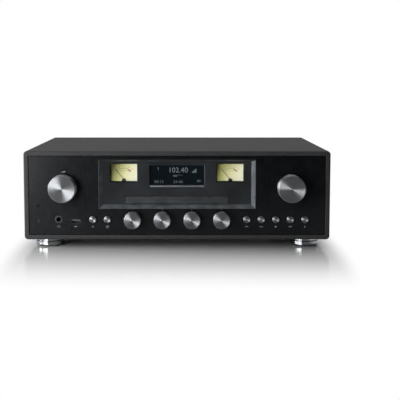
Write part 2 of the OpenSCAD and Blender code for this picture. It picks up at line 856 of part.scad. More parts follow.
deck_x = [gear_x - pulley_r - 4, tray_w / 2 + 3.1];
deck_y = [gear_y - 10.4, tray_y + tray_l + 25];
deck_hole_x = 40;
deck_wall = 2.5;
wall_top = 62;
lip_t = 1.5;
lip_in = 5;
rib_x = 50;
rib_w = 4;
leg_d = 9;
pivot_back = 85;
pivot_y = disc_y + pivot_back;
pivot_h = 40;
trunnion_d = 4;
leg_spots = [[-rib_x - 5, deck_y[0] + 8], [rib_x + 5, deck_y[0] + 8],
             [-rib_x - 5, deck_y[1] - 8], [rib_x + 5, deck_y[1] - 8]];

module loader_frame() {
    deck_l = deck_y[1] - deck_y[0];
    wall_h = wall_top - plate_z[1];
    left_lip = -tray_w / 2 + lip_in - deck_x[0];
    color([0.16, 0.16, 0.17]) difference() {
        union() {
            translate([deck_x[0], deck_y[0], plate_z[0]])
                cube([deck_x[1] - deck_x[0], deck_l, plate_z[1] - plate_z[0]]);
            for (sx = [-1, 1]) translate([sx * (rib_x + rib_w / 2) - rib_w / 2, deck_y[0], plate_z[1]])
                cube([rib_w, deck_l, tray_z - loose_gap - plate_z[1]]);
            translate([deck_x[0], deck_y[0], plate_z[1]]) cube([deck_wall, deck_l, wall_h]);
            translate([deck_x[1] - deck_wall, deck_y[0], plate_z[1]]) cube([deck_wall, deck_l, wall_h]);
            translate([deck_x[0], deck_y[0], lip_z]) cube([left_lip, deck_l, lip_t]);
            translate([tray_w / 2 - lip_in, deck_y[0], lip_z])
                cube([deck_x[1] - tray_w / 2 + lip_in, deck_l, lip_t]);
            for (p = leg_spots) translate([p[0], p[1], floor_z])
                cylinder(d = leg_d, h = plate_z[0] - floor_z + 1);
            translate([gear_x, gear_y, plate_z[1] - 1])
                cylinder(d = gear_post_d, h = lip_z - clear_gap - plate_z[1]);
            for (sx = [-1, 1]) translate([sx * (deck_hole_x + 3.5) - 3.5, pivot_y - 5, pivot_h - 4])
                cube([7, 10, 8]);
        }
        translate([-deck_hole_x, disc_y - 34, plate_z[0] - 1])
            cube([2 * deck_hole_x, pivot_y - disc_y + 44, plate_z[1] - plate_z[0] + 2]);
        translate([gear_x, motor_y, plate_z[0] - 1]) cylinder(d = 10, h = 4);
        translate([-cabinet_w / 2, pivot_y, pivot_h]) rotate([0, 90, 0])
            cylinder(d = trunnion_d + 2 * run_gap, h = cabinet_w);
    }
}

bridge_w = 34;
bridge_t = 2;
bridge_hole = 26;
puck_d = 30;

module clamp_bridge() {
    color([0.68, 0.69, 0.7]) translate([0, disc_y, wall_top]) difference() {
        translate([deck_x[0], -bridge_w / 2, 0]) cube([deck_x[1] - deck_x[0], bridge_w, bridge_t]);
        translate([0, 0, -1]) cylinder(d = bridge_hole, h = bridge_t + 2);
    }
}

module clamp_puck() {
    low = wall_top - 4;
    top = wall_top + bridge_t + clear_gap;
    color([0.12, 0.12, 0.13]) translate([0, disc_y, 0]) rotate_extrude() polygon([
        [0, low], [puck_d / 2, low], [puck_d / 2, low + 2.5], [bridge_hole / 2 - 1, low + 2.5],
        [bridge_hole / 2 - 1, top], [puck_d / 2, top], [puck_d / 2, top + 1.5], [0, top + 1.5]]);
}

// Traverse: a plate that hinges at its rear and carries the spindle, the pickup and its rods

traverse_z = [41, 43];
traverse_w = 74;
rod_x = 20;
rod_z = 36;
rod_lug = 7;
lens_r = 26;
lug_front = 8;
lug_back = 76;
lug_ys = [disc_y + lug_front, disc_y + lug_back];
lug_t = 4;
traverse_front = 26;
traverse_tail = 3;

module traverse_frame() {
    color([0.45, 0.46, 0.48]) difference() {
        union() {
            translate([-traverse_w / 2, disc_y - traverse_front, traverse_z[0]]) cube([
                traverse_w, pivot_back + traverse_front + traverse_tail, traverse_z[1] - traverse_z[0]]);
            for (sx = [-1, 1], y = lug_ys) translate([sx * rod_x - rod_lug / 2, y, rod_z - rod_lug / 2])
                cube([rod_lug, lug_t, traverse_z[0] - rod_z + rod_lug / 2 + 1]);
            for (sx = [-1, 1]) translate([sx * 34, pivot_y, pivot_h]) rotate([0, sx * 90, 0]) {
                cylinder(d = 2 * trunnion_d, h = deck_hole_x - clear_gap - 34);
                cylinder(d = trunnion_d, h = deck_hole_x + 7 - 34);
            }
        }
        translate([0, disc_y, traverse_z[0] - 1]) cylinder(d = 11, h = 4);
        translate([-12, disc_y + lens_r - 9, traverse_z[0] - 1]) cube([24, sled_travel + 19, 4]);
        for (sx = [-1, 1]) translate([sx * rod_x, 0, rod_z])
            rod_y(rod_d + 2 * run_gap, lug_ys[0] + 1.5, lug_ys[1] + lug_t - 1.5);
    }
}

module guide_rods() {
    color([0.8, 0.8, 0.82]) for (sx = [-1, 1]) translate([sx * rod_x, 0, rod_z])
        rod_y(rod_d, lug_ys[0] + 1.5, lug_ys[1] + lug_t - 1.5);
}

sled = [54, 24, 8];
pickup_block = [18, 14, 14];
pickup_lens_d = 6;
pickup_lens_h = 16.5;

module laser_sled() {
    color([0.1, 0.1, 0.11]) translate([0, disc_y + lens_r, 0]) {
        difference() {
            translate([-sled[0] / 2, -sled[1] / 2, rod_z - sled[2] / 2 - 0.5]) cube(sled);
            for (sx = [-1, 1]) translate([sx * rod_x, 0, rod_z]) rod_y(rod_d + 2 * run_gap, -sled[1], sled[1]);
        }
        translate([-pickup_block[0] / 2, -pickup_block[1] / 2, rod_z]) cube(pickup_block);
        translate([0, 0, rod_z]) cylinder(d = pickup_lens_d, h = pickup_lens_h);
    }
}

spindle_d = 24;
spindle_h = 14;
table_top = 55;

module spindle_motor() {
    color([0.7, 0.7, 0.72]) translate([0, disc_y, traverse_z[0] - spindle_h]) difference() {
        cylinder(d = spindle_d, h = spindle_h);
        translate([0, 0, 2]) cylinder(d = motor_shaft_d + 2 * run_gap, h = spindle_h);
    }
}

module turntable() {
    color([0.09, 0.09, 0.1]) translate([0, disc_y, 0]) rotate_extrude() polygon([
        [0, traverse_z[0] - spindle_h + 3], [motor_shaft_d / 2, traverse_z[0] - spindle_h + 3],
        [motor_shaft_d / 2, traverse_z[1] + 0.5], [4, traverse_z[1] + 0.5], [4, table_top - 2],
        [turntable_d / 2, table_top - 2], [turntable_d / 2, table_top], [7.4, table_top],
        [7.4, table_top + 1.3], [6, table_top + 2.5], [0, table_top + 2.5]]);
}

// Boards on spacers: the main board at the right, the power supply at the left, and the
// control board on pillars behind the fascia

spacer_h = 8;
spacer_d = 7;
spacer_in = 7;
pillar_d = 7;
pillar_up = 5.5;
pillar_low = floor_z + pillar_up;
pillar_high = wing_top - 6;
pillar_in = 18;
pillar_out = 15.5;
pillar_spots = [[small_knob_pitch, pillar_low], [inner_w / 2 - pillar_in, pillar_low],
                [bay_w / 2 + pillar_out, pillar_high], [inner_w / 2 - pillar_in, pillar_high]];
board_to_loader = 12;
board_to_side = 6;
main_front = 40;
main_to_rear = 36.5;
supply_front = 60;
supply_to_rear = 61.5;
pcb_z = floor_z + spacer_h;
part_z = pcb_z + pcb_t;
main_x = [deck_x[1] + board_to_loader, inner_w / 2 - board_to_side];
main_y = [main_front, rear_y - main_to_rear];
supply_x = [board_to_side - inner_w / 2, deck_x[0] - board_to_loader];
supply_y = [supply_front, rear_y - supply_to_rear];

// What stands on the boards: width, depth and height of a block, or diameter and height of a can
chip = [28, 28, 2.8];
memory_chip = [14, 20, 2.4];
long_strip = [40, 9, 11];
short_strip = [26, 9, 11];
tuner_can = [52, 46, 15];
filter_can = [10, 17];
filter_pitch = 12;
core = [64, 54, 52];
bobbin = [52, 78, 38];
reservoir = [26, 42];
reservoir_pitch = 36;
supply_strip = [68, 9, 11];
strip_row = 20;
filter_row = 42;
chip_row = 80;
core_row = 35;
part_in = 10;
fin_t = 2;
fin_pitch = 7;
fins = 11;
fin_l = 16;
sink_t = 5;
sink_h = 55;
sink_in = 4;
sink_y = main_y[1] - sink_in - fin_l - sink_t;

module board(xs, ys) {
    translate([xs[0], ys[0], pcb_z]) cube([xs[1] - xs[0], ys[1] - ys[0], pcb_t]);
}

module on_board(x, y) {
    translate([x, y, part_z - eps]) children();
}

module can(size) {
    cylinder(d = size[0], h = size[1]);
}

module main_board() {
    mid = (main_x[0] + main_x[1]) / 2;
    left = main_x[0] + part_in;
    color([0.07, 0.28, 0.14]) {
        board(main_x, main_y);
        on_board(mid - chip[0] / 2, main_y[0] + chip_row) cube(chip);
        on_board(mid + chip[0], main_y[0] + chip_row) cube(memory_chip);
        on_board(left, main_y[0] + strip_row) cube(long_strip);
        on_board(mid, main_y[0] + strip_row) cube(short_strip);
        on_board(left, sink_y - part_in - tuner_can[1]) cube(tuner_can);
        for (i = [0:3]) on_board(main_x[1] - part_in - i * filter_pitch, main_y[0] + filter_row)
            can(filter_can);
    }
}

module power_supply() {
    mid = (supply_x[0] + supply_x[1]) / 2;
    core_y = supply_y[0] + core_row;
    strip_y = supply_y[1] - part_in - supply_strip[1];
    color([0.55, 0.4, 0.2]) {
        board(supply_x, supply_y);
        on_board(mid - core[0] / 2, core_y) cube(core);
        on_board(mid - bobbin[0] / 2, core_y + (core[1] - bobbin[1]) / 2) cube(bobbin);
        for (sx = [-0.5, 0.5]) on_board(mid + sx * reservoir_pitch, strip_y - reservoir[0] / 2 - spacer_in)
            can(reservoir);
        on_board(mid - supply_strip[0] / 2, strip_y) cube(supply_strip);
    }
}

module heatsink() {
    w = (fins - 1) * fin_pitch + fin_t;
    x = (main_x[0] + main_x[1] - w) / 2;
    color([0.12, 0.12, 0.13]) translate([x, sink_y, part_z]) {
        cube([w, sink_t, sink_h]);
        for (i = [0:fins - 1]) translate([i * fin_pitch, sink_t - eps, 0]) cube([fin_t, fin_l, sink_h]);
    }
}

module board_spacers() {
    color([0.75, 0.7, 0.45]) {
        for (b = [[main_x, main_y], [supply_x, supply_y]])
            for (x = [b[0][0] + spacer_in, b[0][1] - spacer_in], y = [b[1][0] + spacer_in, b[1][1] - spacer_in])
                translate([x, y, floor_z]) cylinder(d = spacer_d, h = spacer_h);
        for (sx = [-1, 1], p = pillar_spots) at(sx * p[0], p[1]) rod_y(pillar_d, fascia_back, board_y);
    }
}

// Rear panel and what is fixed to it

rear_face = rear_y + rear_t;
phono_x = 150;
phono_z = 50;
phono_pitch = [14, 18];
sleeve_d = 8.3;
sleeve_l = 9;
phono_collar_d = 11.5;
phono_collar_t = 1.2;
phono_neck_d = 7.5;
phono_bore = 3.4;
phono_block = [28, 32, 13];
antenna_x = 105;
antenna_z = 50;
barrel_d = 9.5;
barrel_l = 11;
terminal_x = 35;
terminal_z = 48;
terminal_pitch = 19;
terminal_d = 12;
terminal_hole_d = 9;
terminal_edge = 20;
terminal_plate_h = 22;
terminal_plate_t = 2;
plug_bore = 4;
plug_l = 11;
inlet_x = -145;
inlet_z = 50;
inlet_w = 46;
inlet_h = 25;
inlet_l = 20;
slot_pitch = 9;
slot_l = 22;
slot_z = 88;
terminal_xs = [for (i = [0:3]) terminal_x + (i - 1.5) * terminal_pitch];

module at_phonos() {
    for (sx = [-0.5, 0.5], sz = [-0.5, 0.5])
        at(phono_x + sx * phono_pitch[0], phono_z + sz * phono_pitch[1]) children();
}

module rear_panel() {
    y0 = rear_y - 1;
    y1 = rear_face + 1;
    color([0.08, 0.08, 0.085]) difference() {
        at(0, cabinet_h / 2) block_y(panel_w, panel_h, rear_y, rear_face);
        at_blocks() rod_y(screw_d + 2 * loose_gap, y0, y1);
        at_phonos() rod_y(phono_neck_d + 2 * loose_gap, y0, y1);
        at(antenna_x, antenna_z) rod_y(barrel_d + 2 * loose_gap, y0, y1);
        for (x = terminal_xs) at(x, terminal_z) rod_y(terminal_hole_d + 2 * loose_gap, y0, y1);
        at(inlet_x, inlet_z) block_y(inlet_w + 2 * loose_gap, inlet_h + 2 * loose_gap, y0, y1);
        for (i = [-9:9]) at(i * slot_pitch, slot_z) block_y(3, slot_l, y0, y1);
    }
}

module phono_sockets() {
    sleeve_y = rear_face + phono_collar_t;
    sleeve_end = sleeve_y + sleeve_l;
    color([0.7, 0.62, 0.4]) difference() {
        union() {
            at(phono_x, phono_z) block_y(phono_block[0], phono_block[1], rear_y - phono_block[2], rear_y);
            at_phonos() {
                rod_y(phono_neck_d, rear_y - 1, rear_face + eps);
                rod_y(phono_collar_d, rear_face, sleeve_y);
                rod_y(sleeve_d, sleeve_y - eps, sleeve_end);
            }
        }
        at_phonos() {
            rod_y(phono_bore, rear_y - 6, sleeve_end + 1);
            difference() {
                rod_y(sleeve_d - 1, sleeve_y + 1, sleeve_end + 1);
                rod_y(sleeve_d - 2.2, sleeve_y, sleeve_end - 1);
            }
        }
    }
}

module antenna_socket() {
    color([0.78, 0.78, 0.76]) at(antenna_x, antenna_z) difference() {
        union() {
            block_y(18, 18, rear_y - 16, rear_y);
            rod_y(barrel_d, rear_y - 1, rear_face + barrel_l);
            translate([0, rear_face, 0]) along_y() cylinder(d = 15, h = 2.5, $fn = 6);
        }
        rod_y(1.2, rear_face, rear_face + barrel_l + 1);
        rod_y(7, rear_face + barrel_l - 1, rear_face + barrel_l + 1);
    }
}

// Speaker terminals: four posts, each clamped by its collar and nut to a plate on each side of the panel
module terminal_plate(y) {
    plate_w = (len(terminal_xs) - 1) * terminal_pitch + terminal_edge;
    difference() {
        at(terminal_x, terminal_z) block_y(plate_w, terminal_plate_h, y, y + terminal_plate_t);
        for (x = terminal_xs) at(x, terminal_z)
            rod_y(terminal_hole_d + 2 * run_gap, y - 1, y + terminal_plate_t + 1);
    }
}

module terminal_post() {
    collar_y = rear_face + terminal_plate_t + run_gap;
    collar_end = rear_face + terminal_plate_t + 3;
    nut_end = rear_y - terminal_plate_t - run_gap;
    post_end = rear_face + terminal_out;
    difference() {
        union() {
            rod_y(terminal_hole_d, nut_end - 5, post_end);
            rod_y(terminal_d, nut_end - 3, nut_end);
            rod_y(terminal_d, collar_y, collar_end);
            rod_y(terminal_d, collar_end + 2, post_end);
        }
        rod_y(plug_bore, post_end - plug_l, post_end + 1);
    }
}

module speaker_terminals() {
    color([0.6, 0.55, 0.4]) {
        terminal_plate(rear_face);
        terminal_plate(rear_y - terminal_plate_t);
        for (x = terminal_xs) at(x, terminal_z) terminal_post();
    }
}

// Mains inlet: a three-pin recess and, beside it, the well of the rocker switch
recess_x = 8;
recess_w = 24.5;
recess_h = 17;
recess_l = 16;
well_x = -14.5;
well_w = 13;
well_h = 20;
well_l = 9;
rocker_in = 3;
rocker_d = 2.4;
rocker_half = 9;
rocker_tilt = 8;

module mains_inlet() {
    out = rear_face + 2;
    color([0.03, 0.03, 0.032]) at(inlet_x, inlet_z) {
        difference() {
            union() {
                block_y(inlet_w + 5, inlet_h + 4, rear_face, out);
                block_y(inlet_w, inlet_h, rear_y - inlet_l, rear_face);
            }
            at(recess_x, 0) plate_y(out - recess_l, out + 1) polygon([
                [-recess_w / 2, -recess_h / 2], [recess_w / 2, -recess_h / 2],
                [recess_w / 2, recess_h / 2 - 4], [recess_w / 2 - 4, recess_h / 2],
                [4 - recess_w / 2, recess_h / 2], [-recess_w / 2, recess_h / 2 - 4]]);
            at(well_x, 0) block_y(well_w + 2 * clear_gap, well_h, out - well_l, out + 1);
            translate([well_x - well_w, out - rocker_in, 0]) rotate([0, 90, 0])
                cylinder(d = rocker_d + 2 * run_gap, h = 2 * well_w);
        }
        at(recess_x, 0) for (p = [[-7, -2], [0, 2], [7, -2]])
            at(p[0], p[1]) block_y(2, 4, out - recess_l - 1, out - 4);
    }
}

// Rocker: two shallow slopes that meet over its pivot, tilted with its upper end out
module mains_rocker() {
    edge = rocker_in + rocker_half * tan(rocker_tilt);
    color([0.05, 0.05, 0.052])
        translate([inlet_x + well_x, rear_face + 2 - rocker_in, inlet_z]) rotate([-rocker_tilt, 0, 0]) {
            rotate([90, 0, 90]) linear_extrude(well_w, center = true) polygon([
                [rocker_in, 0], [edge, rocker_half], [-1.2, rocker_half], [-2.4, 4], [-2.4, -4],
                [-1.2, -rocker_half], [edge, -rocker_half]]);
            rotate([0, 90, 0]) cylinder(d = rocker_d, h = well_w + 4, center = true);
        }
}

placed() cabinet();
placed() rear_panel();
placed() fascia();
placed() bay_bezel();
placed() window_panel();
placed() feet();
placed() foot_pads();
placed() case_screws();
placed() display_module();
placed() meter_lenses();
placed() meter_dials();
placed() meter_movements();
placed() left_meter_needle();
placed() right_meter_needle();
placed() volume_knob();
placed() volume_shaft();
placed() tuning_knob();
placed() tuning_shaft();
placed() tuning_rotor();
placed() encoders();
placed() bass_knob();
placed() treble_knob();
placed() balance_knob();
placed() loudness_knob();
placed() tone_pots();
placed() menu_button();
placed() source_button();
placed() previous_button();
placed() play_button();
placed() stop_button();
placed() next_button();
placed() eject_button();
placed() tact_switches();
placed() control_board();
placed() usb_socket();
placed() headphone_socket();
placed() sensor_windows();
placed() loader_frame();
placed() disc_tray();
placed() tray_front();
placed() tray_gear();
placed() loading_motor();
placed() motor_pulley();
placed() loading_belt();
placed() traverse_frame();
placed() spindle_motor();
placed() turntable();
placed() clamp_bridge();
placed() clamp_puck();
placed() laser_sled();
placed() guide_rods();
placed() main_board();
placed() power_supply();
placed() heatsink();
placed() board_spacers();
placed() phono_sockets();
placed() speaker_terminals();
placed() antenna_socket();
placed() mains_inlet();
placed() mains_rocker();
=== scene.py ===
"""Looks of a tabletop disc radio: finishes, rounded edges, printed marks and lit dials over its solids."""

import json
import math

import bpy
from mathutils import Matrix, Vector


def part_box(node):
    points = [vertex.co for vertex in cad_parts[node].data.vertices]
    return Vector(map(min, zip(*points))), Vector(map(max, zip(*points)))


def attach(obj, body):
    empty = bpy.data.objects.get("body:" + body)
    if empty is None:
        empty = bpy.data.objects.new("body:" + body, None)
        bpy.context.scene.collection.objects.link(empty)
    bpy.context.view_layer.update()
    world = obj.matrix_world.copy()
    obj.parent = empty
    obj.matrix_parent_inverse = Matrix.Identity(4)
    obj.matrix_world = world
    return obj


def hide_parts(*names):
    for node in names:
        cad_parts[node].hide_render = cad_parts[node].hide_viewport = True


MM = 0.001

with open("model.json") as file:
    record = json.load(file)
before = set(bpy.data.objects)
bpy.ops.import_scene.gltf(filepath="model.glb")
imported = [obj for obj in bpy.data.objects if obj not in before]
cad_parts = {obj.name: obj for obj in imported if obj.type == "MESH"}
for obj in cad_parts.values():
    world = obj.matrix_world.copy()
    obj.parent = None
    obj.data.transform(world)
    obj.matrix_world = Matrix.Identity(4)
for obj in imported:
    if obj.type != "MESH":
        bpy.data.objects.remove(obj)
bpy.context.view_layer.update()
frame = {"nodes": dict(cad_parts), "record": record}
bpy.context.scene.view_settings.view_transform = "Standard"


# Camera

CAMERA_PLACE = Vector((8.1, -1390.0, 239.1)) * MM
CAMERA_TILT = math.radians(5.5)
CAMERA_LENS = 80.68
CAMERA_SHIFT = (0.0430, -0.0899)
CAMERA_REACH = 50


def add_camera():
    bpy.ops.object.camera_add(location=CAMERA_PLACE, rotation=(math.pi / 2 - CAMERA_TILT, 0, 0))
    camera = bpy.context.object
    camera.data.lens = CAMERA_LENS
    camera.data.shift_x, camera.data.shift_y = CAMERA_SHIFT
    camera.data.clip_end = CAMERA_REACH
    bpy.context.scene.camera = camera


# Places read from the frame

def middle(node):
    low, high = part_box(node)
    return (low + high) / 2


def front_of(node):
    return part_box(node)[0].y


fascia_front = front_of("fascia")
window_front = front_of("window_panel")
display_low, display_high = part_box("display_module")


# Node helpers for materials

# Noise mostly stays within its span. A finish's patches are so many times as broad as its grain
NOISE_SPAN = (0.3, 0.7)
PATCH_SIZE = 25
PATCH_DARK, PATCH_LIGHT = 0.35, 0.65
GRAIN_STRENGTH = 0.35
LOWEST_ROUGHNESS = 0.02


def new_material(name):
    material = bpy.data.materials.new(name)
    material.use_nodes = True
    return material, material.node_tree, material.node_tree.nodes["Principled BSDF"]


def add_node(tree, kind, **settings):
    node = tree.nodes.new(kind)
    for name, value in settings.items():
        setattr(node, name, value)
    return node


def object_coordinates(tree, centre=(0, 0, 0), scale=(1, 1, 1)):
    """Object coordinates measured from a centre and stretched by a scale."""
    coordinates = add_node(tree, "ShaderNodeTexCoord")
    move = add_node(tree, "ShaderNodeMapping", vector_type="POINT")
    move.inputs["Location"].default_value = [-c * s for c, s in zip(centre, scale)]
    move.inputs["Scale"].default_value = scale
    tree.links.new(coordinates.outputs["Object"], move.inputs["Vector"])
    return move.outputs["Vector"]


def noise(tree, vector, scale, detail=3.0):
    node = add_node(tree, "ShaderNodeTexNoise")
    node.inputs["Scale"].default_value = scale
    node.inputs["Detail"].default_value = detail
    tree.links.new(vector, node.inputs["Vector"])
    return node.outputs["Fac"]


def remap(tree, value, low, high, source=NOISE_SPAN):
    """Stretches a source range, as a rule that of noise, to run from low to high."""
    node = add_node(tree, "ShaderNodeMapRange")
    for name, number in zip(("From Min", "From Max", "To Min", "To Max"), (*source, low, high)):
        node.inputs[name].default_value = number
    tree.links.new(value, node.inputs["Value"])
    return node.outputs["Result"]


def ramp(tree, value, stops):
    node = add_node(tree, "ShaderNodeValToRGB")
    elements = node.color_ramp.elements
    while len(elements) < len(stops):
        elements.new(1)
    for element, (place, colour) in zip(elements, stops):
        element.position = place
        element.color = (*colour, 1)
    tree.links.new(value, node.inputs["Fac"])
    return node.outputs["Color"]


def bump(tree, shader, height, strength, distance):
    node = add_node(tree, "ShaderNodeBump")
    node.inputs["Strength"].default_value = strength
    node.inputs["Distance"].default_value = distance
    tree.links.new(height, node.inputs["Height"])
    tree.links.new(node.outputs["Normal"], shader.inputs["Normal"])


def grained(name, colour, roughness, grain, variation=0.25, metallic=0.0, specular=0.5, depth=0.02,
            stretch=(1, 1, 1), roughness_spread=0.08):
    """A finish with a fine grain: its colour, gloss and surface all vary a little over the piece."""
    material, tree, shader = new_material(name)
    vector = object_coordinates(tree, scale=stretch)
    fine = noise(tree, vector, grain, 4)
    broad = noise(tree, vector, grain / PATCH_SIZE, 2)
    dark = [c * (1 - variation) for c in colour]
    light = [min(1, c * (1 + variation)) for c in colour]
    shade = ramp(tree, broad, [(PATCH_DARK, dark), (PATCH_LIGHT, light)])
    tree.links.new(shade, shader.inputs["Base Color"])
    shiniest = max(LOWEST_ROUGHNESS, roughness - roughness_spread)
    gloss = remap(tree, fine, shiniest, roughness + roughness_spread)
    tree.links.new(gloss, shader.inputs["Roughness"])
    shader.inputs["Metallic"].default_value = metallic
    shader.inputs["Specular IOR Level"].default_value = specular
    bump(tree, shader, fine, GRAIN_STRENGTH, depth * MM)
    return material


# Finishes

RING_SHADES = [(0.0, (0.21, 0.217, 0.228)), (1.0, (0.28, 0.287, 0.297))]
# Painted backlight on the dials: colour and glow run from dark olive on the shaded side to pale cream on
# the lit side
DIAL_GLOW = [(0.0, (0.042, 0.039, 0.008)), (0.2, (0.19, 0.195, 0.055)), (0.5, (0.44, 0.43, 0.23)),
             (0.75, (0.54, 0.54, 0.38)), (1.0, (0.59, 0.60, 0.48))]
DIAL_SLANT = -0.3
DIAL_REACH = 1.2
SOCKET_BLACK = (0.02, 0.02, 0.021)


def spun_aluminium(name, centre):
    """Turned metal: fine rings round the piece's own axis, and gloss drawn out across them."""
    material, tree, shader = new_material(name)
    vector = object_coordinates(tree, centre)
    rings = add_node(tree, "ShaderNodeTexWave", wave_type="RINGS", rings_direction="Y")
    rings.inputs["Scale"].default_value = 700
    rings.inputs["Distortion"].default_value = 1.5
    rings.inputs["Detail"].default_value = 2
    rings.inputs["Detail Scale"].default_value = 3
    tree.links.new(vector, rings.inputs["Vector"])
    tree.links.new(ramp(tree, rings.outputs["Fac"], RING_SHADES), shader.inputs["Base Color"])
    tree.links.new(remap(tree, noise(tree, vector, 900), 0.42, 0.47), shader.inputs["Roughness"])
    shader.inputs["Metallic"].default_value = 1
    shader.inputs["Anisotropic"].default_value = 1
    shader.inputs["Anisotropic Rotation"].default_value = 0.25
    tangent = add_node(tree, "ShaderNodeTangent", direction_type="RADIAL", axis="Y")
    tree.links.new(tangent.outputs["Tangent"], shader.inputs["Tangent"])
    bump(tree, shader, rings.outputs["Fac"], 0.15, 0.01 * MM)
    return material


def lit_dial(name, centre, width, height, shade):
    """A printed dial with its backlight painted into its colour and glow, as from one lamp low at its
    right, so it fades to olive at the left.

    shade is how much further the fade reaches."""
    material, tree, shader = new_material(name)
    vector = object_coordinates(tree, centre, (2 / width, 1, 2 / height))
    parts = add_node(tree, "ShaderNodeSeparateXYZ")
    tree.links.new(vector, parts.inputs["Vector"])
    fall = add_node(tree, "ShaderNodeMath", operation="MULTIPLY_ADD")
    fall.inputs[1].default_value = DIAL_SLANT
    tree.links.new(parts.outputs["Z"], fall.inputs[0])
    tree.links.new(parts.outputs["X"], fall.inputs[2])
    across = remap(tree, fall.outputs["Value"], 0, 1, (-DIAL_REACH + shade, DIAL_REACH))
    glow = ramp(tree, across, DIAL_GLOW)
    tree.links.new(glow, shader.inputs["Base Color"])
    tree.links.new(glow, shader.inputs["Emission Color"])
    shader.inputs["Emission Strength"].default_value = 0.55
    shader.inputs["Roughness"].default_value = 0.6
    bump(tree, shader, noise(tree, vector, 60), 0.1, 0.02 * MM)
    return material


def glowing(name, colour):
    """Figures lit from behind, a little uneven."""
    material, tree, shader = new_material(name)
    vector = object_coordinates(tree)
    shade = ramp(tree, noise(tree, vector, 700), [(0.3, [c * 0.85 for c in colour]), (0.7, colour)])
    shader.inputs["Base Color"].default_value = [c * 0.2 for c in colour] + [1]
    tree.links.new(shade, shader.inputs["Emission Color"])
    shader.inputs["Emission Strength"].default_value = 1
    shader.inputs["Roughness"].default_value = 0.4
    return material


def clear_lens(name):
    """A thin clear lens, which barely bends what is seen through it."""
    material, tree, shader = new_material(name)
    shader.inputs["Base Color"].default_value = (0.97, 0.97, 0.95, 1)
    shader.inputs["Transmission Weight"].default_value = 1
    shader.inputs["IOR"].default_value = 1.02
    gloss = remap(tree, noise(tree, object_coordinates(tree), 300), 0.01, 0.03)
    tree.links.new(gloss, shader.inputs["Roughness"])
    return material


def coloured_bands(name, spots, radius, band_colours):
    """Black plastic with round patches of colour about spots on the x and z plane."""
    material, tree, shader = new_material(name)
    colour = None
    for spot, band in zip(spots, band_colours):
        vector = object_coordinates(tree, spot, (1, 0, 1))
        reach = add_node(tree, "ShaderNodeVectorMath", operation="LENGTH")
        tree.links.new(vector, reach.inputs[0])
        inside = add_node(tree, "ShaderNodeMath", operation="LESS_THAN")
        inside.inputs[1].default_value = radius
        tree.links.new(reach.outputs["Value"], inside.inputs[0])
        mix = add_node(tree, "ShaderNodeMix", data_type="RGBA")
        tree.links.new(inside.outputs["Value"], mix.inputs["Factor"])
        mix.inputs["A"].default_value = (*SOCKET_BLACK, 1)
        mix.inputs["B"].default_value = (*band, 1)
        if colour:
            tree.links.new(colour, mix.inputs["A"])
        colour = mix.outputs["Result"]
    tree.links.new(colour, shader.inputs["Base Color"])
    gloss = remap(tree, noise(tree, object_coordinates(tree), 500), 0.27, 0.43)
    tree.links.new(gloss, shader.inputs["Roughness"])
    return material


lacquer = grained("satin_black_lacquer", (0.030, 0.030, 0.031), 0.52, 1400, variation=0.06, specular=0.12,
                  depth=0.012)
anodised = grained("black_anodised_front", (0.0035, 0.0042, 0.005), 0.28, 2200, specular=0.14, depth=0.006)
bay_paint = grained("satin_gunmetal_bay", (0.070, 0.078, 0.085), 0.36, 1800, metallic=0.6, depth=0.006)
acrylic = grained("dark_acrylic", (0.018, 0.020, 0.022), 0.16, 500, specular=0.45, depth=0.002,
                  roughness_spread=0.03)
tray_satin = grained("satin_tray_front", (0.022, 0.025, 0.027), 0.34, 1800, specular=0.4, depth=0.006)
display_glass = grained("display_glass", (0.003, 0.0055, 0.0075), 0.10, 300, specular=0.3, depth=0.001,
                        roughness_spread=0.02)
chrome = grained("polished_chrome", (0.32, 0.33, 0.345), 0.06, 600, variation=0.03, metallic=1, depth=0.001,
                 roughness_spread=0.02)
rubber = grained("black_rubber", (0.018, 0.018, 0.018), 0.75, 1500, specular=0.3, depth=0.03)
black_plastic = grained("moulded_black_plastic", (0.012, 0.012, 0.013), 0.45, 1600, specular=0.4)
grey_plastic = grained("moulded_grey_plastic", (0.05, 0.05, 0.054), 0.5, 1400, specular=0.4)
white_plastic = grained("moulded_white_plastic", (0.72, 0.71, 0.67), 0.45, 1400, variation=0.05)
tray_plastic = grained("tray_plastic", (0.014, 0.014, 0.016), 0.42, 1700, specular=0.4)
powder_coat = grained("black_powder_coat", (0.014, 0.014, 0.015), 0.55, 900, specular=0.4, depth=0.05)
zinc = grained("zinc_plate", (0.5, 0.5, 0.49), 0.32, 700, metallic=1, variation=0.12)
steel = grained("ground_steel", (0.56, 0.56, 0.55), 0.28, 900, metallic=1, variation=0.1,
                stretch=(1, 0.1, 1))
brass = grained("plated_brass", (0.72, 0.52, 0.22), 0.24, 700, metallic=1, variation=0.1)
board_green = grained("green_solder_mask", (0.012, 0.085, 0.03), 0.35, 500, variation=0.4)
core_brown = grained("varnished_core", (0.16, 0.08, 0.03), 0.4, 400, variation=0.4)
heatsink_black = grained("heatsink_anodised", (0.02, 0.02, 0.022), 0.4, 1200, metallic=0.6)
sensor_filter = grained("sensor_filter", (0.006, 0.004, 0.005), 0.12, 400, depth=0.001,
                        roughness_spread=0.02)
needle_paint = grained("needle_paint", (0.012, 0.008, 0.006), 0.5, 900)
lens_clear = clear_lens("meter_lens_clear")
white_print = grained("white_print", (0.17, 0.18, 0.19), 0.6, 2500, variation=0.15)
dial_print = grained("dial_print", (0.02, 0.018, 0.01), 0.6, 2500)
dial_red = grained("dial_red_print", (0.5, 0.03, 0.015), 0.6, 2500)
screen_white = glowing("screen_white", (0.125, 0.135, 0.14))
screen_grey = glowing("screen_grey", (0.070, 0.077, 0.080))
sill_satin = grained("satin_sill", (0.52, 0.55, 0.58), 0.32, 1500, metallic=0.9, variation=0.1, depth=0.004)
dark_nickel = grained("dark_nickel", (0.10, 0.10, 0.10), 0.3, 900, metallic=1, variation=0.1)


# Shaping helpers: each leaves only its own piece selected

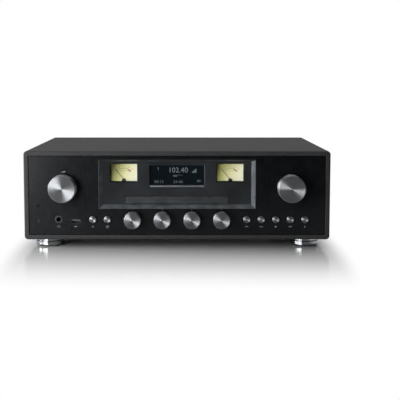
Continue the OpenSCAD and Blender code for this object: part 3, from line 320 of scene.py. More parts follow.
SHARP = math.radians(30)
SMOOTH_UP_TO = math.radians(35)
FACING_FRONT = (math.pi / 2, 0, 0)


def deselect_all():
    if bpy.context.mode != "OBJECT":
        bpy.ops.object.mode_set(mode="OBJECT")
    bpy.ops.object.select_all(action="DESELECT")


def make_active(piece):
    deselect_all()
    piece.select_set(True)
    bpy.context.view_layer.objects.active = piece


def clear_selection(piece, kind):
    """Leaves nothing selected in a piece's mesh, so that the next step can mark its own parts."""
    make_active(piece)
    bpy.ops.object.mode_set(mode="EDIT")
    bpy.ops.mesh.select_mode(type=kind)
    bpy.ops.mesh.select_all(action="DESELECT")
    bpy.ops.object.mode_set(mode="OBJECT")


def settle(piece):
    """Puts a piece's place, turn and scale into its mesh, so that its object sits at the origin."""
    make_active(piece)
    bpy.ops.object.transform_apply(location=True, rotation=True, scale=True)


def dress(piece, name, body, material, smooth=True):
    """Names a finished piece, gives it its finish and makes it ride on a body."""
    settle(piece)
    piece.name = name
    piece.data.name = name
    piece.data.materials.clear()
    piece.data.materials.append(material)
    if smooth:
        bpy.ops.object.shade_smooth_by_angle(angle=SMOOTH_UP_TO)
    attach(piece, body)


def round_edges(piece, width, segments, limit="ANGLE"):
    """Rounds the sharp edges, or those given a weight."""
    make_active(piece)
    bevel = piece.modifiers.new("rounded", "BEVEL")
    bevel.width = width
    bevel.segments = segments
    bevel.limit_method = limit
    bevel.angle_limit = SHARP
    bevel.use_clamp_overlap = False
    bevel.face_strength_mode = "FSTR_ALL"
    bevel.miter_outer = "MITER_ARC"
    bpy.ops.object.modifier_apply(modifier=bevel.name)


def level_normals(piece):
    """Keeps broad faces flat to the light, so that only the rounded edges shade from one to the next."""
    make_active(piece)
    level = piece.modifiers.new("level", "WEIGHTED_NORMAL")
    level.mode = "FACE_AREA"
    level.weight = 100
    level.keep_sharp = True
    level.use_face_influence = True
    bpy.ops.object.modifier_apply(modifier=level.name)


# Which body each node rides on

body_of = {n: b for b, nodes in frame["record"]["behaviour"]["bodies"].items() for n in nodes}


# Rounded copies of CAD nodes

RIM_ROUND = 2.4 * MM
WELD = 0.002 * MM
ON_FACE = 0.01 * MM
FLAT = math.radians(1)

# The front plate's long flats show thin lines once they are divided, so they stay whole
WHOLE_FLATS = ("fascia",)


def weigh_front_rim(piece, share):
    """Marks every sharp edge to be rounded by a share of the width, the outer front edge by all of it."""
    low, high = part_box("cabinet")
    clear_selection(piece, "EDGE")
    bpy.ops.object.mode_set(mode="EDIT")
    bpy.ops.mesh.edges_select_sharp(sharpness=SHARP)
    bpy.ops.transform.edge_bevelweight(value=share)
    bpy.ops.object.mode_set(mode="OBJECT")
    for edge in piece.data.edges:
        places = [piece.data.vertices[v].co for v in edge.vertices]
        at_front = all(place.y < low.y + ON_FACE for place in places)
        at_rim = all(min(place.x - low.x, high.x - place.x, place.z - low.z, high.z - place.z) < RIM_ROUND
                     for place in places)
        edge.select = edge.select and at_front and at_rim
    bpy.ops.object.mode_set(mode="EDIT")
    bpy.ops.transform.edge_bevelweight(value=1 - share)
    bpy.ops.mesh.select_mode(type="VERT")
    bpy.ops.object.mode_set(mode="OBJECT")


def softened(node, material, width, segments):
    """A copy of a CAD node with its sharp edges rounded, which stands for the node.

    Its flat faces are merged first, and divided afresh unless they are best left whole, so that no thin
    triangle folds over in the rounding."""
    deselect_all()
    piece = frame["nodes"][node].copy()
    piece.data = piece.data.copy()
    piece.parent = None
    for key in list(piece.keys()):
        del piece[key]
    bpy.context.collection.objects.link(piece)
    make_active(piece)
    bpy.ops.object.mode_set(mode="EDIT")
    bpy.ops.mesh.select_all(action="SELECT")
    bpy.ops.mesh.remove_doubles(threshold=WELD)
    bpy.ops.mesh.dissolve_limited(angle_limit=FLAT)
    if node not in WHOLE_FLATS:
        bpy.ops.mesh.quads_convert_to_tris(quad_method="BEAUTY", ngon_method="BEAUTY")
    bpy.ops.object.mode_set(mode="OBJECT")
    if node == "cabinet":
        weigh_front_rim(piece, width / RIM_ROUND)
        round_edges(piece, RIM_ROUND, segments, "WEIGHT")
    else:
        round_edges(piece, width, segments)
    dress(piece, node + "_finished", body_of[node], material)
    level_normals(piece)
    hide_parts(node)
    return piece


def keep(node, material):
    """A CAD node whose shape is right, with its finish."""
    slots = frame["nodes"][node].data.materials
    slots.clear()
    slots.append(material)


# Turned metal: knobs and buttons, drawn out ring by ring from a disc at the front

RING_STEPS = 128
FLUTE_LAND = 0.12 * MM
FLUTE_DEPTH = 0.3 * MM
KNOB_BACK = 0.3 * MM
KNOB_BORE = ((3.2 * MM, 0), (3.1 * MM, 0.4 * MM))
SHAFT_R = 3 * MM
SHAFT_CHAMFER = 0.3 * MM
BUTTON_R = 4.8 * MM
BUTTON_FLANGE_IN = 4.3 * MM
BUTTON_FLANGE_T = 1.5 * MM
STEM_R = 2 * MM
BIG_KNOBS = ("volume_knob", "tuning_knob")
SMALL_KNOBS = ("bass_knob", "treble_knob", "balance_knob", "loudness_knob")
BUTTONS = ("menu_button", "source_button", "previous_button", "play_button", "stop_button", "next_button",
           "eject_button")

# Profiles, in millimetres in from the rim and along from the front or the back, listed from front to back
BIG_KNOB_FACE = ((2.6, 0.2), (2.1, 0.2), (1.95, 0.17), (1.8, 0), (1.3, 0), (1.2, 0.05), (0.12, 1.1),
                 (0, 1.4), (0, 2.2))
BIG_KNOB_FOOT = ((0, 2.4), (0, 1.8), (0.1, 1.6), (0.7, 1.4), (0.7, 0.9), (0.2, 0.7), (0.2, 0.2), (0.4, 0))
SMALL_KNOB_FACE = ((1.9, 0.15), (1.5, 0.15), (1.35, 0), (0.9, 0), (0.8, 0.04), (0.1, 0.8), (0, 1.0),
                   (0, 1.6))
SMALL_KNOB_FOOT = ((0, 1.6), (0.1, 1.2), (0.5, 1.0), (0.5, 0.6), (0.15, 0.5), (0.3, 0))
BUTTON_FACE = ((1.2, 0), (0.7, 0), (0.55, 0.05), (0.08, 0.55), (0, 0.8))


def rings_from_front(profile, radius, front):
    return [(radius - inset * MM, front + depth * MM) for inset, depth in profile]


def rings_to_back(profile, radius, back):
    return [(radius - inset * MM, back - depth * MM) for inset, depth in profile]


def turned(name, node, axis, rings, flutes=None):
    """Draws a disc out along y through rings of (radius, y), then closes its back.

    flutes is a y range whose faces are cut in, every other one, as a fine grip."""
    deselect_all()
    radius, y = rings[0]
    bpy.ops.mesh.primitive_circle_add(vertices=RING_STEPS, radius=radius, fill_type="TRIFAN",
                                      location=(axis.x, y, axis.z), rotation=FACING_FRONT)
    piece = bpy.context.object
    settle(piece)
    bpy.ops.object.mode_set(mode="EDIT")
    bpy.ops.mesh.select_all(action="SELECT")
    bpy.ops.mesh.region_to_loop()
    for next_radius, next_y in rings[1:]:
        bpy.ops.mesh.extrude_edges_move(TRANSFORM_OT_translate={"value": (0, next_y - y, 0)})
        growth = next_radius / radius
        bpy.ops.transform.resize(value=(growth, 1, growth), center_override=(axis.x, next_y, axis.z))
        radius, y = next_radius, next_y
    bpy.ops.mesh.edge_face_add()
    bpy.ops.mesh.select_all(action="SELECT")
    bpy.ops.mesh.normals_make_consistent(inside=False)
    bpy.ops.object.mode_set(mode="OBJECT")
    if flutes:
        cut_flutes(piece, axis, flutes)
    dress(piece, name, body_of[node], spun_aluminium(name + "_metal", axis))
    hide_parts(node)


def cut_flutes(piece, axis, span):
    """Sinks every other face of the side between two depths."""
    clear_selection(piece, "FACE")
    for face in piece.data.polygons:
        turn = math.atan2(face.center.z - axis.z, face.center.x - axis.x)
        number = math.floor(turn / (2 * math.pi / RING_STEPS))
        face.select = span[0] < face.center.y < span[1] and number % 2 == 0
    bpy.ops.object.mode_set(mode="EDIT")
    bpy.ops.mesh.inset(thickness=FLUTE_LAND, depth=-FLUTE_DEPTH, use_individual=True)
    bpy.ops.mesh.select_mode(type="VERT")
    bpy.ops.object.mode_set(mode="OBJECT")


def add_big_knob(node):
    low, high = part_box(node)
    axis = (low + high) / 2
    r = (high.x - low.x) / 2
    face = rings_from_front(BIG_KNOB_FACE, r, low.y)
    foot = rings_to_back(BIG_KNOB_FOOT, r, high.y)
    bore = [(radius, high.y - depth) for radius, depth in KNOB_BORE]
    turned(node + "_turned", node, axis, face + foot + bore, (face[-1][1], foot[0][1]))


def add_small_knob(node):
    low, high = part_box(node)
    axis = (low + high) / 2
    r = (high.x - low.x) / 2
    back = front_of("cabinet") + KNOB_BACK
    face = rings_from_front(SMALL_KNOB_FACE, r, low.y)
    foot = rings_to_back(SMALL_KNOB_FOOT, r, back)
    shaft = [(SHAFT_R, back), (SHAFT_R, high.y - SHAFT_CHAMFER), (SHAFT_R - SHAFT_CHAMFER, high.y)]
    turned(node + "_turned", node, axis, face + foot + shaft, (face[-1][1], foot[0][1]))


def add_button(node):
    low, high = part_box(node)
    axis = (low + high) / 2
    flange = front_of("fascia") + BUTTON_FLANGE_IN
    flange_r = (high.x - low.x) / 2
    face = rings_from_front(BUTTON_FACE, BUTTON_R, low.y)
    stem = [(BUTTON_R, flange), (flange_r, flange), (flange_r, flange + BUTTON_FLANGE_T),
            (STEM_R, flange + BUTTON_FLANGE_T), (STEM_R, high.y)]
    turned(node + "_turned", node, axis, face + stem)


# Printed marks: flat shapes joined into one mark and given the thickness of a print

PRINT_T = 0.06 * MM
FIGURE_SHARE = 0.7
RING_SIDES = 96
RIGHT, UP, LEFT, DOWN = 0, 90, 180, -90


def flat_bar(x, z, width, height, y):
    deselect_all()
    bpy.ops.mesh.primitive_plane_add(size=1, location=(x, y, z), rotation=FACING_FRONT)
    bpy.context.object.scale = (width, height, 1)
    settle(bpy.context.object)
    return bpy.context.object


def flat_triangle(x, z, radius, turn, y):
    """A triangle whose point lies at turn degrees from +x towards +z."""
    deselect_all()
    bpy.ops.mesh.primitive_circle_add(vertices=3, radius=radius, fill_type="NGON", location=(x, y, z),
                                      rotation=(math.pi / 2, math.radians(90 - turn), 0))
    settle(bpy.context.object)
    return bpy.context.object


def flat_ring(x, z, outer, inner, y, start=0, stop=360, sides=RING_SIDES):
    """A ring, or the part of one from start to stop degrees from +x towards +z."""
    deselect_all()
    bpy.ops.mesh.primitive_circle_add(vertices=sides, radius=outer, fill_type="NOTHING", location=(x, y, z),
                                      rotation=FACING_FRONT)
    piece = bpy.context.object
    settle(piece)
    bpy.ops.object.mode_set(mode="EDIT")
    bpy.ops.mesh.select_all(action="SELECT")
    bpy.ops.mesh.extrude_edges_move(TRANSFORM_OT_translate={"value": (0, 0, 0)})
    share = inner / outer
    bpy.ops.transform.resize(value=(share, 1, share), center_override=(x, y, z))
    bpy.ops.object.mode_set(mode="OBJECT")
    for face in piece.data.polygons:
        turn = math.degrees(math.atan2(face.center.z - z, face.center.x - x)) % 360
        face.select = not start <= turn <= stop
    bpy.ops.object.mode_set(mode="EDIT")
    bpy.ops.mesh.select_mode(type="FACE")
    bpy.ops.mesh.delete(type="FACE")
    bpy.ops.mesh.select_mode(type="VERT")
    bpy.ops.object.mode_set(mode="OBJECT")
    return piece


def flat_figures(figures, x, z, height, y):
    """Plain figures, centred on x and z."""
    deselect_all()
    bpy.ops.object.text_add(location=(x, y, z), rotation=FACING_FRONT)
    text = bpy.context.object
    text.data.body = figures
    text.data.size = height / FIGURE_SHARE
    text.data.align_x = "CENTER"
    text.data.align_y = "CENTER"
    text.data.resolution_u = 3
    bpy.ops.object.convert(target="MESH")
    settle(bpy.context.object)
    return bpy.context.object


def printed(name, shapes, material):
    """Joins flat shapes into one mark on the case, with a print's thickness towards the front."""
    deselect_all()
    for shape in shapes:
        shape.select_set(True)
    mark = shapes[0]
    bpy.context.view_layer.objects.active = mark
    if len(shapes) > 1:
        bpy.ops.object.join()
    make_active(mark)
    bpy.ops.object.mode_set(mode="EDIT")
    bpy.ops.mesh.select_all(action="SELECT")
    bpy.ops.mesh.normals_make_consistent(inside=False)
    bpy.ops.mesh.extrude_region_move(TRANSFORM_OT_translate={"value": (0, -PRINT_T, 0)})
    bpy.ops.mesh.select_all(action="SELECT")
    bpy.ops.mesh.normals_make_consistent(inside=False)
    bpy.ops.object.mode_set(mode="OBJECT")
    dress(mark, name, "case", material, smooth=False)


# Meters: two lit dials with a printed scale

DIAL_W = 37.0 * MM
DIAL_PIVOT_UP = 2.4 * MM
SCALE_R = 15.5 * MM
SCALE_SWEEP = 40
SCALE_MARKS = (("20", -38), ("10", -22), ("5", -6), ("3", 3), ("1", 12), ("0", 19), ("1", 26), ("3", 38))
MINOR_MARKS = (-31, -15, -1, 8, 15.5, 22.5, 32)
RED_FROM = 19
ARC_SIDES = 240
SCALE_LINE = 0.3 * MM
LOWER_ARC = (SCALE_R - 2.6 * MM, SCALE_R - 2.8 * MM)
RED_ARC = (SCALE_R - 0.4 * MM, SCALE_R - 1.5 * MM)
LONG_TICK = (1.7 * MM, 0.28 * MM)
SHORT_TICK = (1.0 * MM, 0.18 * MM)
SCALE_FIGURE_R = SCALE_R + 3.2 * MM
SCALE_FIGURE_H = 1.9 * MM
DIAL_ROUND = 0.15 * MM
# How much further the painted shade on each dial reaches
LEFT_DIAL_SHADE = 0.25
RIGHT_DIAL_SHADE = 0
MOVEMENT_ROUND = 0.05 * MM
dial_low, dial_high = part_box("meter_dials")
dial_h = dial_high.z - dial_low.z
left_dial_x = dial_low.x + DIAL_W / 2
right_dial_x = dial_high.x - DIAL_W / 2

# The cover over a needle's pivot: its reach to each side, up from the dial's foot and back from the lens,
# and the share of its width, depth and height that is kept
COVER_HALF_W = 6 * MM
COVER_SPAN = (-0.5 * MM, 9 * MM)
COVER_DEPTHS = (0.05 * MM, 0.9 * MM)
COVER_SHARE = (0.62, 1, 0.5)


def add_dial(side, x, shade):
    centre = Vector((x, (dial_low.y + dial_high.y) / 2, (dial_low.z + dial_high.z) / 2))
    deselect_all()
    bpy.ops.mesh.primitive_cube_add(size=1, location=centre)
    plate = bpy.context.object
    plate.scale = (DIAL_W, dial_high.y - dial_low.y, dial_h)
    settle(plate)
    round_edges(plate, DIAL_ROUND, 2)
    finish = lit_dial(side + "_dial_glow", centre, DIAL_W, dial_h, shade)
    dress(plate, side + "_dial_plate", "case", finish)
    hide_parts("meter_dials")
    add_scale(side, x, dial_low.z + DIAL_PIVOT_UP)


def add_movements():
    """The movements, with the covers over their pivots drawn in to what shows of them."""
    works = softened("meter_movements", black_plastic, MOVEMENT_ROUND, 1)
    lens_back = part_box("meter_lenses")[1].y
    for x in (left_dial_x, right_dial_x):
        clear_selection(works, "VERT")
        for vertex in works.data.vertices:
            place = vertex.co
            up = COVER_SPAN[0] < place.z - dial_low.z < COVER_SPAN[1]
            along = COVER_DEPTHS[0] < place.y - lens_back < COVER_DEPTHS[1]
            vertex.select = abs(place.x - x) < COVER_HALF_W and up and along
        bpy.ops.object.mode_set(mode="EDIT")
        bpy.ops.transform.resize(value=COVER_SHARE, center_override=(x, 0, dial_low.z))
        bpy.ops.object.mode_set(mode="OBJECT")


def add_scale(side, x, z):
    """Two arcs with ticks and figures about the needle's pivot, and a thick red arc at the loud end."""
    y = dial_low.y
    start, stop = UP - SCALE_SWEEP, UP + SCALE_SWEEP
    shapes = [flat_ring(x, z, SCALE_R, SCALE_R - SCALE_LINE, y, start, stop, ARC_SIDES),
              flat_ring(x, z, *LOWER_ARC, y, start, stop, ARC_SIDES)]
    shapes += [scale_tick(x, z, lean, *LONG_TICK) for _, lean in SCALE_MARKS]
    shapes += [scale_tick(x, z, lean, *SHORT_TICK) for lean in MINOR_MARKS]
    for figures, lean in SCALE_MARKS:
        right = SCALE_FIGURE_R * math.sin(math.radians(lean))
        up = SCALE_FIGURE_R * math.cos(math.radians(lean))
        shapes.append(flat_figures(figures, x + right, z + up, SCALE_FIGURE_H, y))
    printed(side + "_dial_scale", shapes, dial_print)
    over = flat_ring(x, z, *RED_ARC, y, start, UP - RED_FROM, ARC_SIDES)
    printed(side + "_dial_red_zone", [over], dial_red)


def scale_tick(x, z, lean, length, width):
    """A tick on the upper arc, turned about the pivot."""
    tick = flat_bar(x, z + SCALE_R + length / 2, width, length, dial_low.y)
    bpy.ops.object.mode_set(mode="EDIT")
    bpy.ops.mesh.select_all(action="SELECT")
    bpy.ops.transform.rotate(value=-math.radians(lean), orient_axis="Y", center_override=(x, 0, z))
    bpy.ops.object.mode_set(mode="OBJECT")
    return tick


# Display: plain figures and bars on dark glass

display_mid_x = (display_low.x + display_high.x) / 2
display_mid_z = (display_low.z + display_high.z) / 2
display_front = display_low.y


def on_screen(x, z):
    """A place on the screen from millimetres right of and above its middle."""
    return display_mid_x + x * MM, display_mid_z + z * MM


def screen_figures(figures, x, z, height):
    return flat_figures(figures, *on_screen(x, z), height * MM, display_front)


def screen_bar(x, z, width, height):
    return flat_bar(*on_screen(x, z), width * MM, height * MM, display_front)


SCREEN_FRAME = 3.0 * MM
LIP = 2.5 * MM
SILL_SEAT = 0.47 * LIP
SILL_W = 1.3 * LIP
SILL_T = 0.3 * MM
SILL_PLAY = 0.4 * MM
SILL_ROUND = 0.1 * MM


def add_sill():
    """A satin strip on the sloping lip under the screen."""
    place = (display_mid_x, window_front + SILL_SEAT, display_low.z + SCREEN_FRAME - SILL_SEAT)
    deselect_all()
    bpy.ops.mesh.primitive_cube_add(size=1, location=place, rotation=(math.pi / 4, 0, 0))
    strip = bpy.context.object
    strip.scale = (display_high.x - display_low.x - 2 * SCREEN_FRAME - SILL_PLAY, SILL_W, SILL_T)
    settle(strip)
    round_edges(strip, SILL_ROUND, 2)
    dress(strip, "screen_sill", "case", sill_satin)


def add_screen():
    station = [screen_figures("102.40", 1.5, 7.2, 7.2)]
    printed("screen_station", station, screen_white)
    bars = [screen_bar(21.5 + 1.7 * i, 4.4 + 0.7 * i, 1.1, 1.6 + 1.4 * i) for i in range(4)]
    printed("screen_signal_bars", bars, screen_white)
    mast = [flat_triangle(*on_screen(-26.5, 10.2), 1.5 * MM, DOWN, display_front),
            screen_bar(-26.5, 8.2, 0.6, 3.4)]
    printed("screen_mast", mast, screen_grey)
    rail = [screen_bar(1, 0.4, 13, 0.5), screen_bar(-2.5, -0.9, 6, 1.4)]
    printed("screen_rail", rail, screen_grey)
    clock = [screen_figures("08:15", -25.5, -9.2, 4.2)]
    printed("screen_clock", clock, screen_grey)
    preset = [screen_figures("24-06", 1.5, -9.2, 4.2)]
    printed("screen_preset", preset, screen_grey)
    cell = [screen_bar(31, -9.2, 5.5, 0.4), screen_bar(31, -6.6, 5.5, 0.4), screen_bar(28.4, -7.9, 0.4, 3),
            screen_bar(33.6, -7.9, 0.4, 3), screen_bar(30.4, -7.9, 2.6, 1.6)]
    printed("screen_cell", cell, screen_grey)


# Marks printed on the fascia: signs under the buttons and sockets, dots round the small knobs

MARK_DROP = 10.2 * MM
ARROW_R = 1.3 * MM
SIGN_RING_SIDES = 48
DOT_OUT = 2.2 * MM
DOT_RADII = (0.45 * MM, 0.05 * MM)
DOT_SIDES = 16
DOT_TURNS = (-150, 0, 150)
WEDGE_UP = 3.0 * MM
WEDGE_BARS = 5
WEDGE_STEP = 1.2 * MM
WEDGE_BAR_W = 0.7 * MM
WEDGE_FIRST_H = 0.5 * MM
WEDGE_GROWTH = 0.4 * MM
control_z = middle("play_button").z

# Each shape of a sign: its kind and its place right of and above the sign's middle, in millimetres, then a
# bar's width and height, the way an arrow points, or a ring's two radii and the part of a turn it spans
BUTTON_SIGNS = {
    "menu": (("bar", 0, -0.9, 2.6, 0.4), ("bar", 0, 0, 2.6, 0.4), ("bar", 0, 0.9, 2.6, 0.4)),
    "source": (("arrow", -0.5, 0, RIGHT), ("ring", 0, 0, 2.0, 1.65, 0, 360)),
    "previous": (("arrow", -0.4, 0, LEFT), ("arrow", 1.4, 0, LEFT), ("bar", -1.9, 0, 0.45, 2.2)),
    "play": (("arrow", -1.2, 0, RIGHT), ("bar", 0.9, 0, 0.5, 2.2), ("bar", 1.9, 0, 0.5, 2.2)),
    "stop": (("bar", 0, 0, 2.1, 2.1),),
    "next": (("arrow", -1.4, 0, RIGHT), ("arrow", 0.4, 0, RIGHT), ("bar", 1.9, 0, 0.45, 2.2)),
    "eject": (("arrow", 0, 0.4, UP), ("bar", 0, -0.9, 2.3, 0.5))}
HEADPHONE_SIGN = (("ring", 0, 0, 1.5, 1.15, 0, 180), ("bar", -1.35, -0.5, 0.8, 1.3),
                  ("bar", 1.35, -0.5, 0.8, 1.3))
MEMORY_STICK_SIGN = (("bar", -0.5, 0, 2.6, 1.3), ("bar", 1.4, 0, 1.0, 0.8))


def sign_shape(x, z, kind, right, up, *measures):
    x += right * MM
    z += up * MM
    if kind == "bar":
        width, height = measures
        return flat_bar(x, z, width * MM, height * MM, fascia_front)
    if kind == "arrow":
        return flat_triangle(x, z, ARROW_R, *measures, fascia_front)
    outer, inner, start, stop = measures
    return flat_ring(x, z, outer * MM, inner * MM, fascia_front, start, stop, SIGN_RING_SIDES)


def add_sign(name, node, sign):
    """A sign under the middle of a button or a socket."""
    shapes = [sign_shape(middle(node).x, control_z - MARK_DROP, *shape) for shape in sign]
    printed(name + "_sign", shapes, white_print)


def add_knob_dots(knob):
    """Dots at the ends and the middle of a small knob's turn."""
    low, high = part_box(knob)
    reach = (high.x - low.x) / 2 + DOT_OUT
    dots = []
    for lean in DOT_TURNS:
        x = middle(knob).x + reach * math.sin(math.radians(lean))
        z = control_z + reach * math.cos(math.radians(lean))
        dots.append(flat_ring(x, z, *DOT_RADII, fascia_front, sides=DOT_SIDES))
    printed(knob.removesuffix("_knob") + "_dots", dots, white_print)


def add_volume_wedge():
    """Bars that grow to the right, over the volume knob."""
    x, z = middle("volume_knob").x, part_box("volume_knob")[1].z + WEDGE_UP
    bars = []
    for i in range(WEDGE_BARS):
        right = (i - (WEDGE_BARS - 1) / 2) * WEDGE_STEP
        growth = i * WEDGE_GROWTH
        bars.append(flat_bar(x + right, z + growth / 2, WEDGE_BAR_W, WEDGE_FIRST_H + growth, fascia_front))
    printed("volume_wedge", bars, white_print)


# Rear sockets

PHONO_STEP = Vector((7, 0, 9)) * MM
PHONO_BAND_R = 5.9 * MM
PHONO_RED, PHONO_WHITE = (0.45, 0.02, 0.02), (0.75, 0.74, 0.70)
TERMINAL_STEP = 19 * MM
TERMINAL_CAP_R = 6.6 * MM
CAP_RED, CAP_BLACK = (0.42, 0.015, 0.012), (0.015, 0.015, 0.016)


def phono_finish():
    centre = middle("phono_sockets")
    spots = [centre + Vector((sx * PHONO_STEP.x, 0, sz * PHONO_STEP.z)) for sx in (-1, 1) for sz in (-1, 1)]
    return coloured_bands("phono_insulators", spots, PHONO_BAND_R,
                          [PHONO_RED, PHONO_RED, PHONO_WHITE, PHONO_WHITE])


def terminal_finish():
    centre = middle("speaker_terminals")
    spots = [centre + Vector(((i - 1.5) * TERMINAL_STEP, 0, 0)) for i in range(4)]
    return coloured_bands("terminal_caps", spots, TERMINAL_CAP_R, [CAP_RED, CAP_BLACK, CAP_RED, CAP_BLACK])


# Stage: a pale floor, white surroundings and soft lamps, in metres and watts

FLOOR_SIZE = 12
FLOOR_PLACE = (0, 5.55, 0)
# Painted shade: the floor's grey near the object, where it is not yet mixed to white
FLOOR_PAINTED_SHADE_GREY = (0.46, 0.46, 0.46, 1)

# The floor is grey near the object, as painted shade, and fades to plain white over this distance from the
# middle of the object, sooner at its sides
SHADOW_CORE = (0.20, 0.13, 0)
SHADOW_STRETCH = (7, 1, 0)
SHADOW_FADE = (0.005, 0.276)

# The room grows paler from front to back. What points so far back, and no higher than the edge, meets white
ROOM_SHADES = [(0.0, (0.05, 0.05, 0.05)), (0.45, (0.10, 0.10, 0.10)), (0.70, (0.30, 0.30, 0.30))]
BACKDROP_FROM = (0.25, 0.6)
BACKDROP_EDGE = (0.14, 0.26)

# Each lamp's name, place, aim, width, height and power
LAMPS = (
    ("left_softbox", (-0.50, -0.55, 0.25), (0, -0.14, 0.08), 0.4, 0.4, 3.4),
    ("low_left_strip", (-0.38, -0.74, 0.05), (-0.2, -0.14, 0.07), 0.14, 0.1, 0.45),
    ("front_softbox", (-0.85, -1.50, 0.32), (0, -0.14, 0.08), 0.6, 0.9, 12),
    ("top_softbox", (0.0, 0.0, 1.5), (0, 0, 0.07), 2.0, 0.9, 10),
    ("left_strip", (-0.9, -0.28, 0.25), (0, -0.14, 0.07), 0.3, 0.4, 4))


def seen_directly(tree):
    """One for what is seen straight on, in a mirror or through glass, and none for stray light."""
    path = add_node(tree, "ShaderNodeLightPath")
    both = add_node(tree, "ShaderNodeMath", operation="MAXIMUM")
    tree.links.new(path.outputs["Is Camera Ray"], both.inputs[0])
    tree.links.new(path.outputs["Is Glossy Ray"], both.inputs[1])
    total = add_node(tree, "ShaderNodeMath", operation="MAXIMUM")
    tree.links.new(both.outputs["Value"], total.inputs[0])
    tree.links.new(path.outputs["Is Transmission Ray"], total.inputs[1])
    return total.outputs["Value"]


def multiply(tree, first, second):
    node = add_node(tree, "ShaderNodeMath", operation="MULTIPLY")
    tree.links.new(first, node.inputs[0])
    tree.links.new(second, node.inputs[1])
    return node.outputs["Value"]


def add_floor():
    """A glossy sheet, grey near the object as painted shade, that shows the object's shadow and reflection,
    and is plain white round them.
    """
    bpy.ops.mesh.primitive_plane_add(size=FLOOR_SIZE, location=FLOOR_PLACE)
    floor = bpy.context.object
    floor.name = "floor"
    settle(floor)
    material, tree, shader = new_material("glossy_floor_painted_shade")
    shader.inputs["Base Color"].default_value = FLOOR_PAINTED_SHADE_GREY
    shader.inputs["Roughness"].default_value = 0.16
    shader.inputs["Specular IOR Level"].default_value = 0.75
    side = object_coordinates(tree)
    for operation, number in (("ABSOLUTE", None), ("SUBTRACT", SHADOW_CORE), ("MAXIMUM", (0, 0, 0)),
                              ("MULTIPLY", SHADOW_STRETCH), ("LENGTH", None)):
        step = add_node(tree, "ShaderNodeVectorMath", operation=operation)
        tree.links.new(side, step.inputs[0])
        if number:
            step.inputs[1].default_value = number
        side = step.outputs[0]
    fade = add_node(tree, "ShaderNodeMapRange", interpolation_type="SMOOTHSTEP")
    fade.inputs["From Min"].default_value, fade.inputs["From Max"].default_value = SHADOW_FADE
    tree.links.new(step.outputs["Value"], fade.inputs["Value"])
    white = add_node(tree, "ShaderNodeEmission")
    choose = add_node(tree, "ShaderNodeMixShader")
    tree.links.new(multiply(tree, seen_directly(tree), fade.outputs["Result"]), choose.inputs["Fac"])
    tree.links.new(shader.outputs["BSDF"], choose.inputs[1])
    tree.links.new(white.outputs["Emission"], choose.inputs[2])
    tree.links.new(choose.outputs["Shader"], tree.nodes["Material Output"].inputs["Surface"])
    floor.data.materials.append(material)


def light_world():
    """A dim room with a low white backdrop behind the object. The camera itself sees white all round."""
    world = bpy.data.worlds.new("studio")
    bpy.context.scene.world = world
    world.use_nodes = True
    tree = world.node_tree
    tree.nodes.clear()
    coordinates = add_node(tree, "ShaderNodeTexCoord")
    parts = add_node(tree, "ShaderNodeSeparateXYZ")
    tree.links.new(coordinates.outputs["Generated"], parts.inputs["Vector"])
    shade = ramp(tree, remap(tree, parts.outputs["Y"], 0, 1, (-1, 1)), ROOM_SHADES)
    room = add_node(tree, "ShaderNodeBackground")
    tree.links.new(shade, room.inputs["Color"])
    white = add_node(tree, "ShaderNodeBackground")
    white.inputs["Color"].default_value = (1, 1, 1, 1)
    behind = remap(tree, parts.outputs["Y"], 0, 1, BACKDROP_FROM)
    below_edge = remap(tree, parts.outputs["Z"], 1, 0, BACKDROP_EDGE)
    path = add_node(tree, "ShaderNodeLightPath")
    seen = add_node(tree, "ShaderNodeMath", operation="MAXIMUM")
    tree.links.new(path.outputs["Is Camera Ray"], seen.inputs[0])
    tree.links.new(multiply(tree, seen_directly(tree), multiply(tree, behind, below_edge)), seen.inputs[1])
    choose = add_node(tree, "ShaderNodeMixShader")
    tree.links.new(seen.outputs["Value"], choose.inputs["Fac"])
    tree.links.new(room.outputs["Background"], choose.inputs[1])
    tree.links.new(white.outputs["Background"], choose.inputs[2])
    output = add_node(tree, "ShaderNodeOutputWorld")
    tree.links.new(choose.outputs["Shader"], output.inputs["Surface"])


def add_softbox(name, place, target, width, height, power):
    bpy.ops.object.light_add(type="AREA", location=place)
    lamp = bpy.context.object
    lamp.name = name
    lamp.data.shape = "RECTANGLE"
    lamp.data.size = width
    lamp.data.size_y = height
    lamp.data.energy = power
    lamp.rotation_euler = (Vector(target) - Vector(place)).to_track_quat("-Z", "Y").to_euler()
    lamp.visible_camera = False


# The whole object

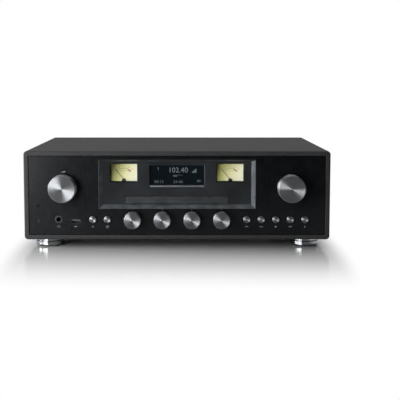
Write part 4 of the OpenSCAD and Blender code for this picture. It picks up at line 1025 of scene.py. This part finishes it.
ROUNDED = (
    ("cabinet", lacquer, 0.6, 5), ("fascia", anodised, 0.25, 2), ("bay_bezel", bay_paint, 0.2, 2),
    ("window_panel", acrylic, 0.15, 2), ("tray_front", tray_satin, 0.45, 3), ("feet", chrome, 0.25, 3),
    ("headphone_socket", black_plastic, 0.3, 3), ("rear_panel", powder_coat, 0.2, 2),
    ("mains_inlet", black_plastic, 0.3, 2), ("mains_rocker", black_plastic, 0.4, 3),
    ("disc_tray", tray_plastic, 0.25, 2))
PLAIN = {
    "foot_pads": rubber, "case_screws": zinc, "display_module": display_glass, "meter_lenses": lens_clear,
    "left_meter_needle": needle_paint, "right_meter_needle": needle_paint,
    "volume_shaft": steel, "tuning_shaft": steel, "tuning_rotor": white_plastic, "encoders": black_plastic,
    "tone_pots": black_plastic, "tact_switches": black_plastic, "control_board": board_green,
    "usb_socket": dark_nickel, "sensor_windows": sensor_filter, "loader_frame": grey_plastic,
    "tray_gear": white_plastic, "loading_motor": steel, "motor_pulley": brass, "loading_belt": rubber,
    "traverse_frame": zinc, "spindle_motor": steel, "turntable": black_plastic, "clamp_bridge": zinc,
    "clamp_puck": black_plastic, "laser_sled": black_plastic, "guide_rods": steel,
    "main_board": board_green, "power_supply": core_brown, "heatsink": heatsink_black,
    "board_spacers": brass, "antenna_socket": zinc}

add_camera()
for node, material, width, segments in ROUNDED:
    softened(node, material, width * MM, segments)
for node, material in PLAIN.items():
    keep(node, material)
keep("phono_sockets", phono_finish())
keep("speaker_terminals", terminal_finish())
for node in BIG_KNOBS:
    add_big_knob(node)
for node in SMALL_KNOBS:
    add_small_knob(node)
for node in BUTTONS:
    add_button(node)
add_movements()
add_dial("left", left_dial_x, LEFT_DIAL_SHADE)
add_dial("right", right_dial_x, RIGHT_DIAL_SHADE)
add_screen()
add_sill()
for button in BUTTONS:
    sign_name = button.removesuffix("_button")
    add_sign(sign_name, button, BUTTON_SIGNS[sign_name])
for knob in SMALL_KNOBS:
    add_knob_dots(knob)
add_sign("headphone", "headphone_socket", HEADPHONE_SIGN)
add_sign("memory_stick", "usb_socket", MEMORY_STICK_SIGN)
add_volume_wedge()
add_floor()
light_world()
for lamp in LAMPS:
    add_softbox(*lamp)
deselect_all()
